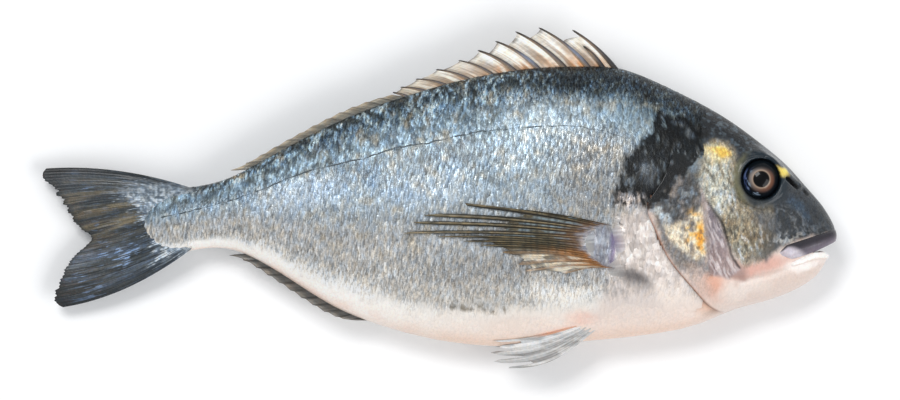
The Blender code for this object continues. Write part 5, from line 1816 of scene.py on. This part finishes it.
@dataclass
class PairedFin:
    """A fan of soft rays laid along the body, its web falling short between the free tips."""

    form: BodyForm
    name: str
    root: tuple
    tips: tuple
    notches: tuple
    rows: int
    per_gap: int = 18
    ray: float = 0.22  # half a ray's breadth as a share of half the way to the next one
    taper: float = 0.06

    def lay_out(self) -> tuple[Array, Array, Array, Array]:
        """Plan of the fin: places (x, y), ray place, share along the rays, and the share of the
        way from the nearest ray to midway between two."""
        rays = len(self.tips)
        columns = (rays - 1) * self.per_gap + 1
        u = np.linspace(0, 1, columns)
        v = np.linspace(0, 1, self.rows)[None, :]
        place = u * (rays - 1)
        gap = np.clip(place.astype(int), 0, rays - 2)
        part = place - gap
        near = 1 - np.abs(2 * part - 1)
        deep = np.array(self.notches)[gap] * rise(self.ray, self.ray + 0.3, near)
        deep = deep + self.taper * np.minimum(near / self.ray, 1)
        reach = v * (1 - deep[:, None])
        start, end = curve(self.root, u), between(np.array(self.tips) * MM, u)
        flat = start[:, None] + (end - start)[:, None] * reach[..., None]
        return flat, place[:, None], reach, near[:, None]


@dataclass
class PectoralFin(PairedFin):
    """The long breast fin, folded back over the flank; the lower one is pressed to the table."""

    side: Side = Side.RIGHT
    ray: float = 0.34
    lift: float = 1.05
    depth_at_root: float = 1.1
    thickness: float = 1.0

    def build(self, finish: Material) -> Object:
        """Makes the fin: it rises out of the flank at its root and follows the flank's form."""
        flat, place, reach, near = self.lay_out()
        sway = 1.2 * MM * np.sin(math.pi * reach)
        x, y = flat[..., 0], flat[..., 1] + sway
        base = self.form.flank(x, y, self.side)
        sunk = self.depth_at_root * (1 - rise(0, 0.14, reach))
        rise_by = self.lift * rise(0.0, 0.25, reach) - sunk
        ridge = 0.4 * (1 - 1.6 * rise(0.1, 0.6, near)) * rise(0.02, 0.2, reach)
        middle = base + self.side.value * rise_by * MM
        half = (self.thickness / 2 * (1 - 0.6 * reach) + np.maximum(ridge, -0.2)) * MM
        upper = np.stack([x, y, middle + half], axis=-1)
        lower = np.stack([x, y, middle - half], axis=-1)
        if self.side is Side.LEFT:
            lower[..., 2] = np.maximum(lower[..., 2], 0.08 * MM)
            upper[..., 2] = np.maximum(upper[..., 2], lower[..., 2] + 0.3 * MM)
        tint = self.paint(flat, place, reach, near)
        plate = np.stack([np.broadcast_to(place * 1.5, reach.shape), reach * 0.8], -1)
        return put_plate(self.name, upper, lower, finish, tint, 0.7, plate)

    def paint(self, flat: Array, place: Array, reach: Array, near: Array) -> Array:
        """Rays with dark edges and tan middles, blue-grey shine between the upper ones, orange
        low at the root and pale lower rays."""
        shape = reach.shape
        drawn = np.column_stack([flat.reshape(-1, 2) / MM, np.zeros(reach.size)])
        noise = cloud(drawn * [0.35, 1, 1], 1.6, 61).reshape(shape)
        share = place / (len(self.tips) - 1)
        paint = Paint("#5a523e", shape)
        paint.lay("#1d1c18", 0.92 * rise(0.18, 0.34, near) * (1 - rise(0.55, 0.75, near)))
        paint.lay("#8e7e5f", 0.75 * (1 - rise(0.08, 0.28, near)) * rise(0.25, 0.5, noise))
        web = rise(0.6, 0.9, near)
        paint.lay("#7f929b", 0.75 * web * (1 - rise(0.4, 0.6, share)) * rise(0.38, 0.58, noise))
        paint.lay("#4a3d24", 0.70 * web * rise(0.45, 0.6, share) * (1 - rise(0.68, 0.80, share)))
        paint.lay("#cfc6ba", 0.85 * rise(0.68, 0.84, share) * rise(0.2, 0.5, reach) * (
            0.35 + 0.65 * rise(0.36, 0.52, noise)))
        paint.lay("#b9793c", 0.85 * rise(0.54, 0.74, share) * (1 - rise(0.25, 0.66, reach)) * (
            0.55 + 0.45 * rise(0.35, 0.6, noise)))
        lower = rise(0.66, 0.76, share) * rise(0.14, 0.34, reach)
        paint.lay("#d6c9b2", 0.75 * lower * rise(0.30, 0.7, near) * rise(0.25, 0.5, noise))
        paint.lay("#8f6a45", 0.5 * lower * (1 - rise(0.15, 0.45, near)))
        paint.lay("#75503a", 0.55 * (1 - rise(0.08, 0.3, reach)) * (1 - rise(0.6, 0.75, share)))
        joints = cloud(np.column_stack([flat[..., 0].ravel() / MM, 0.2 * place.repeat(
            reach.shape[1], 1).ravel(), np.zeros(reach.size)]), 1.1, 62).reshape(shape)
        paint.lay("#2a2a26", 0.45 * rise(0.55, 0.65, joints) * (1 - rise(0.7, 0.8, share)) * (
            rise(0.12, 0.3, reach)))
        hairs = cloud(drawn * [0.3, 2.2, 1], 1.6, 63).reshape(shape)
        paint.lay("#8f8e95", 0.9 * (1 - rise(0.05, 0.13, reach + 0.22 * (hairs - 0.5))))
        paint.lay("#d5d7db", 0.75 * rise(0.48, 0.6, hairs) * (1 - rise(0.05, 0.13, reach)))
        return paint.tint.reshape(-1, 3)


@dataclass
class PelvicFin(PairedFin):
    """One of the two belly fins: pale fans of a few rays swept back from a short root."""

    side: Side = Side.RIGHT
    ray: float = 0.46
    height: float = 5.2
    turn: float = 0.0
    bow: float = 4.6
    droop: float = 4.0
    thickness: float = 0.8

    def build(self, finish: Material) -> Object:
        """Makes the fin; its root lies on the flank, it hangs a little, and its outer rays bow
        towards the belly."""
        flat, place, reach, near = self.lay_out()
        share = place / (len(self.tips) - 1)
        flat[..., 1] -= self.bow * MM * np.sin(math.pi * reach) * (0.25 + 0.75 * share)
        pivot = np.array(self.root[1]) * MM
        cosine, sine = math.cos(self.turn), math.sin(self.turn)
        away = flat - pivot
        x = pivot[0] + away[..., 0] * cosine - away[..., 1] * sine
        y = pivot[1] + away[..., 0] * sine + away[..., 1] * cosine
        ridge = 0.3 * (1 - 1.5 * rise(0.1, 0.7, near)) * (1 - 0.4 * reach)
        half = (self.thickness / 2 * (1 - 0.6 * reach) + np.maximum(ridge, -0.12)) * MM
        middle = self.form.mid(x) + (self.height - self.droop * reach**2) * MM
        over = 0.5 * MM * rise(0.0, 0.2, reach) - 0.5 * MM * (1 - rise(0.0, 0.1, reach))
        upward = self.side.value
        middle = upward * np.maximum(
            upward * middle, upward * self.form.flank(x, y, self.side) + over)
        middle = np.maximum(middle, half + 0.05 * MM)
        upper = np.stack([x, y, middle + half], axis=-1)
        lower = np.stack([x, y, middle - half], axis=-1)
        noise = cloud(np.column_stack([flat.reshape(-1, 2) / MM, np.zeros(reach.size)]) *
                      [0.22, 0.9, 1], 1.8, 71).reshape(reach.shape)
        paint = Paint("#bab9b7", reach.shape)
        paint.lay("#ecebea", 0.65 * (1 - rise(0.25, 0.6, share)) * rise(0.35, 0.55, noise))
        paint.lay("#6f6d6c", 0.6 * rise(0.5, 0.7, near) * (1 - rise(0.9, 1.0, near)) * rise(
            0.05, 0.4, share))
        fine = cloud(np.column_stack([(place + 0 * reach).ravel() * 7, reach.ravel() * 3,
                                      np.zeros(reach.size)]), 1.0, 72).reshape(reach.shape)
        paint.lay("#77756f", 0.55 * rise(0.35, 0.75, share) * rise(0.44, 0.6, fine) * (
            1 - rise(0.85, 1.0, reach)))
        paint.lay("#eceae8", 0.35 * rise(0.50, 0.62, noise))
        paint.lay("#e2996a", 0.9 * (1 - rise(0.0, 0.12, share)) * (1 - rise(0.3, 0.6, reach)))
        plate = np.stack([np.broadcast_to(place * 1.6, reach.shape), reach * 0.5], -1)
        return put_plate(self.name, upper, lower, finish, paint.tint, 0.25, plate)


@dataclass
class SeaBream:
    """The whole fish: its form and colours, and every piece that is dressed on them."""

    form: BodyForm = field(default_factory=BodyForm)
    colours: FishColours = field(default_factory=FishColours)
    relief: HeadRelief = field(default_factory=HeadRelief)

    pectoral: tuple = (
        ((26.5, -6.5), (19.6, -10.0), (17.4, -14.2), (19.6, -18.6), (26.0, -22.5)),
        (
            (-20.9, 1.2),
            (-33.3, 2.9),
            (-49.6, -1.8),
            (-53.5, -4.6),
            (-57.4, -8.9),
            (-44.3, -10.2),
            (-34.0, -12.0),
            (-27.4, -13.5),
            (-18.8, -16.3),
            (-12.6, -21.0),
            (-10.0, -23.6),
            (5.7, -24.6),
        ),
        (0.10, 0.40, 0.42, 0.45, 0.40, 0.2, 0.12, 0.08, 0.06, 0.05, 0.05),
    )
    pelvic: tuple = (
        ((10.0, -45.0), (14.0, -45.6), (17.4, -46.6)),
        ((-22.2, -50.8), (-20.2, -53.4), (-22.0, -55.8), (-22.2, -59.0), (-16.4, -61.6)),
        (0.24, 0.14, 0.26, 0.28),
    )

    def build(self) -> None:
        """Makes every piece and hides the imported fish and eye solids."""
        skin, scale = WetSkin().build(), SilverScale().build()
        web, eye = FinWeb().build(), WetEye().build()
        body = [Skin(self.form, self.colours, self.relief).build(skin)]
        body += Mouth(self.form).build(skin)
        for side in Side:
            body.append(ScaleCoat(self.form, self.colours, self.relief, side).build(scale))
            body.append(LateralLine(self.form, side).build(skin))
            ball = Eye(self.form, side).build(eye)
            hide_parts(f"eye_{side.name.lower()}")
        spiny = SpinyDorsal(self.form)
        body += [spiny.build_spines(web), spiny.build_web(web)]
        body.append(FoldedFin(self.form, "soft_dorsal", (-53.0, -114.0),
                              (2.4, 3.2, 3.4, 3.2, 3.0, 2.8, 2.6, 1.6), 13, 1,
                              ("#566067", "#777368", "#ab9f8a")).build(web))
        body.append(FoldedFin(self.form, "anal_fin", (-66.0, -114.5),
                              (1.2, 3.4, 4.2, 4.3, 4.2, 3.8, 3.0, 1.4), 12, -1,
                              ("#3d3a37", "#4e4b47", "#7c776f")).build(web))
        body.append(TailFin(self.form).build(web))
        for side in Side:
            body.append(PectoralFin(self.form, f"pectoral_{side.name.lower()}", *self.pectoral,
                                    rows=110, side=side).build(web))
        for side, height, turn in ((Side.RIGHT, 5.2, 0.0), (Side.LEFT, -4.2, -5.0)):
            body.append(PelvicFin(self.form, f"pelvic_{side.name.lower()}", *self.pelvic, rows=60,
                                  side=side, height=height, turn=math.radians(turn)).build(web))
        for piece in body:
            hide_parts("fish")


# Stage


@dataclass
class Studio:
    """A pale floor, soft light and a long lens that looks straight down on the fish."""

    lens: float = 250.0
    sensor: float = 36.0
    frame: tuple = (900, 400)  # the picture's size, in pixels
    pixel: float = 0.39  # millimetres to a pixel on the fish's middle plane
    origin: tuple = (550.3, 210.3)  # the pixel over the part's origin
    fish_middle: float = 20.0 * MM
    floor_size: float = 14.0

    def build(self) -> None:
        """Sets floor, camera, lights and world."""
        self.floor()
        self.camera()
        self.light("key", (-0.65, 1.0, 2.2), (1.0, 0.7), 26.5)
        self.light("fill", (1.3, -0.9, 1.7), (1.6, 1.2), 23.0)
        world = bpy.data.worlds.new("studio")
        world.use_nodes = True
        world.node_tree.nodes["Background"].inputs["Color"].default_value = (0.93, 0.96, 1.0, 1.0)
        world.node_tree.nodes["Background"].inputs["Strength"].default_value = 0.50
        bpy.context.scene.world = world
        bpy.context.scene.view_settings.view_transform = "Standard"
        bpy.context.scene.view_settings.look = "None"

    def floor(self) -> None:
        """A large pale matte plane at the height of the table."""
        half = self.floor_size / 2
        mesh = bpy.data.meshes.new("floor")
        mesh.from_pydata([(-half, -half, 0), (half, -half, 0), (half, half, 0), (-half, half, 0)],
                         [], [(0, 1, 2, 3)])
        made = bpy.data.materials.new("matte_paper")
        made.use_nodes = True
        tree = made.node_tree
        shader = tree.nodes["Principled BSDF"]
        place = add_node(tree, "TexCoord", output="Object")
        noise = add_node(tree, "TexNoise", {"Vector": place, "Scale": 900.0})
        rough = add_node(tree, "MapRange", {"Value": noise, "To Min": 0.85, "To Max": 0.95})
        tree.links.new(rough, shader.inputs["Roughness"])
        shader.inputs["Base Color"].default_value = (*linear("#fbfbfb"), 1.0)
        shader.inputs["Specular IOR Level"].default_value = 0.1
        mesh.materials.append(made)
        plane = bpy.data.objects.new("floor", mesh)
        bpy.context.scene.collection.objects.link(plane)

    def camera(self) -> None:
        """Straight above, so far up that the photograph's frame spans the fish's middle plane."""
        data = bpy.data.cameras.new("camera")
        data.lens, data.sensor_width = self.lens, self.sensor
        data.clip_end = 50.0
        camera = bpy.data.objects.new("camera", data)
        away = self.frame[0] * self.pixel * MM * self.lens / self.sensor
        x = (self.frame[0] / 2 - self.origin[0]) * self.pixel * MM
        y = (self.origin[1] - self.frame[1] / 2) * self.pixel * MM
        camera.location = (x, y, self.fish_middle + away)
        bpy.context.scene.collection.objects.link(camera)
        bpy.context.scene.camera = camera

    def light(self, name: str, place: tuple, size: tuple, power: float) -> None:
        """A soft rectangular light that faces the fish and isn't seen itself."""
        data = bpy.data.lights.new(name, "AREA")
        data.shape = "RECTANGLE"
        data.size, data.size_y = size
        data.energy = power
        lamp = bpy.data.objects.new(name, data)
        lamp.location = place
        lamp.rotation_euler = Vector(place).to_track_quat("Z", "Y").to_euler()
        lamp.visible_camera = False
        bpy.context.scene.collection.objects.link(lamp)


def main() -> None:
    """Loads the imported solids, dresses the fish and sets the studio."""
    logging.basicConfig(level=logging.INFO, format="%(message)s")
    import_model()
    SeaBream().build()
    Studio().build()


if __name__ == "__main__":
    main()
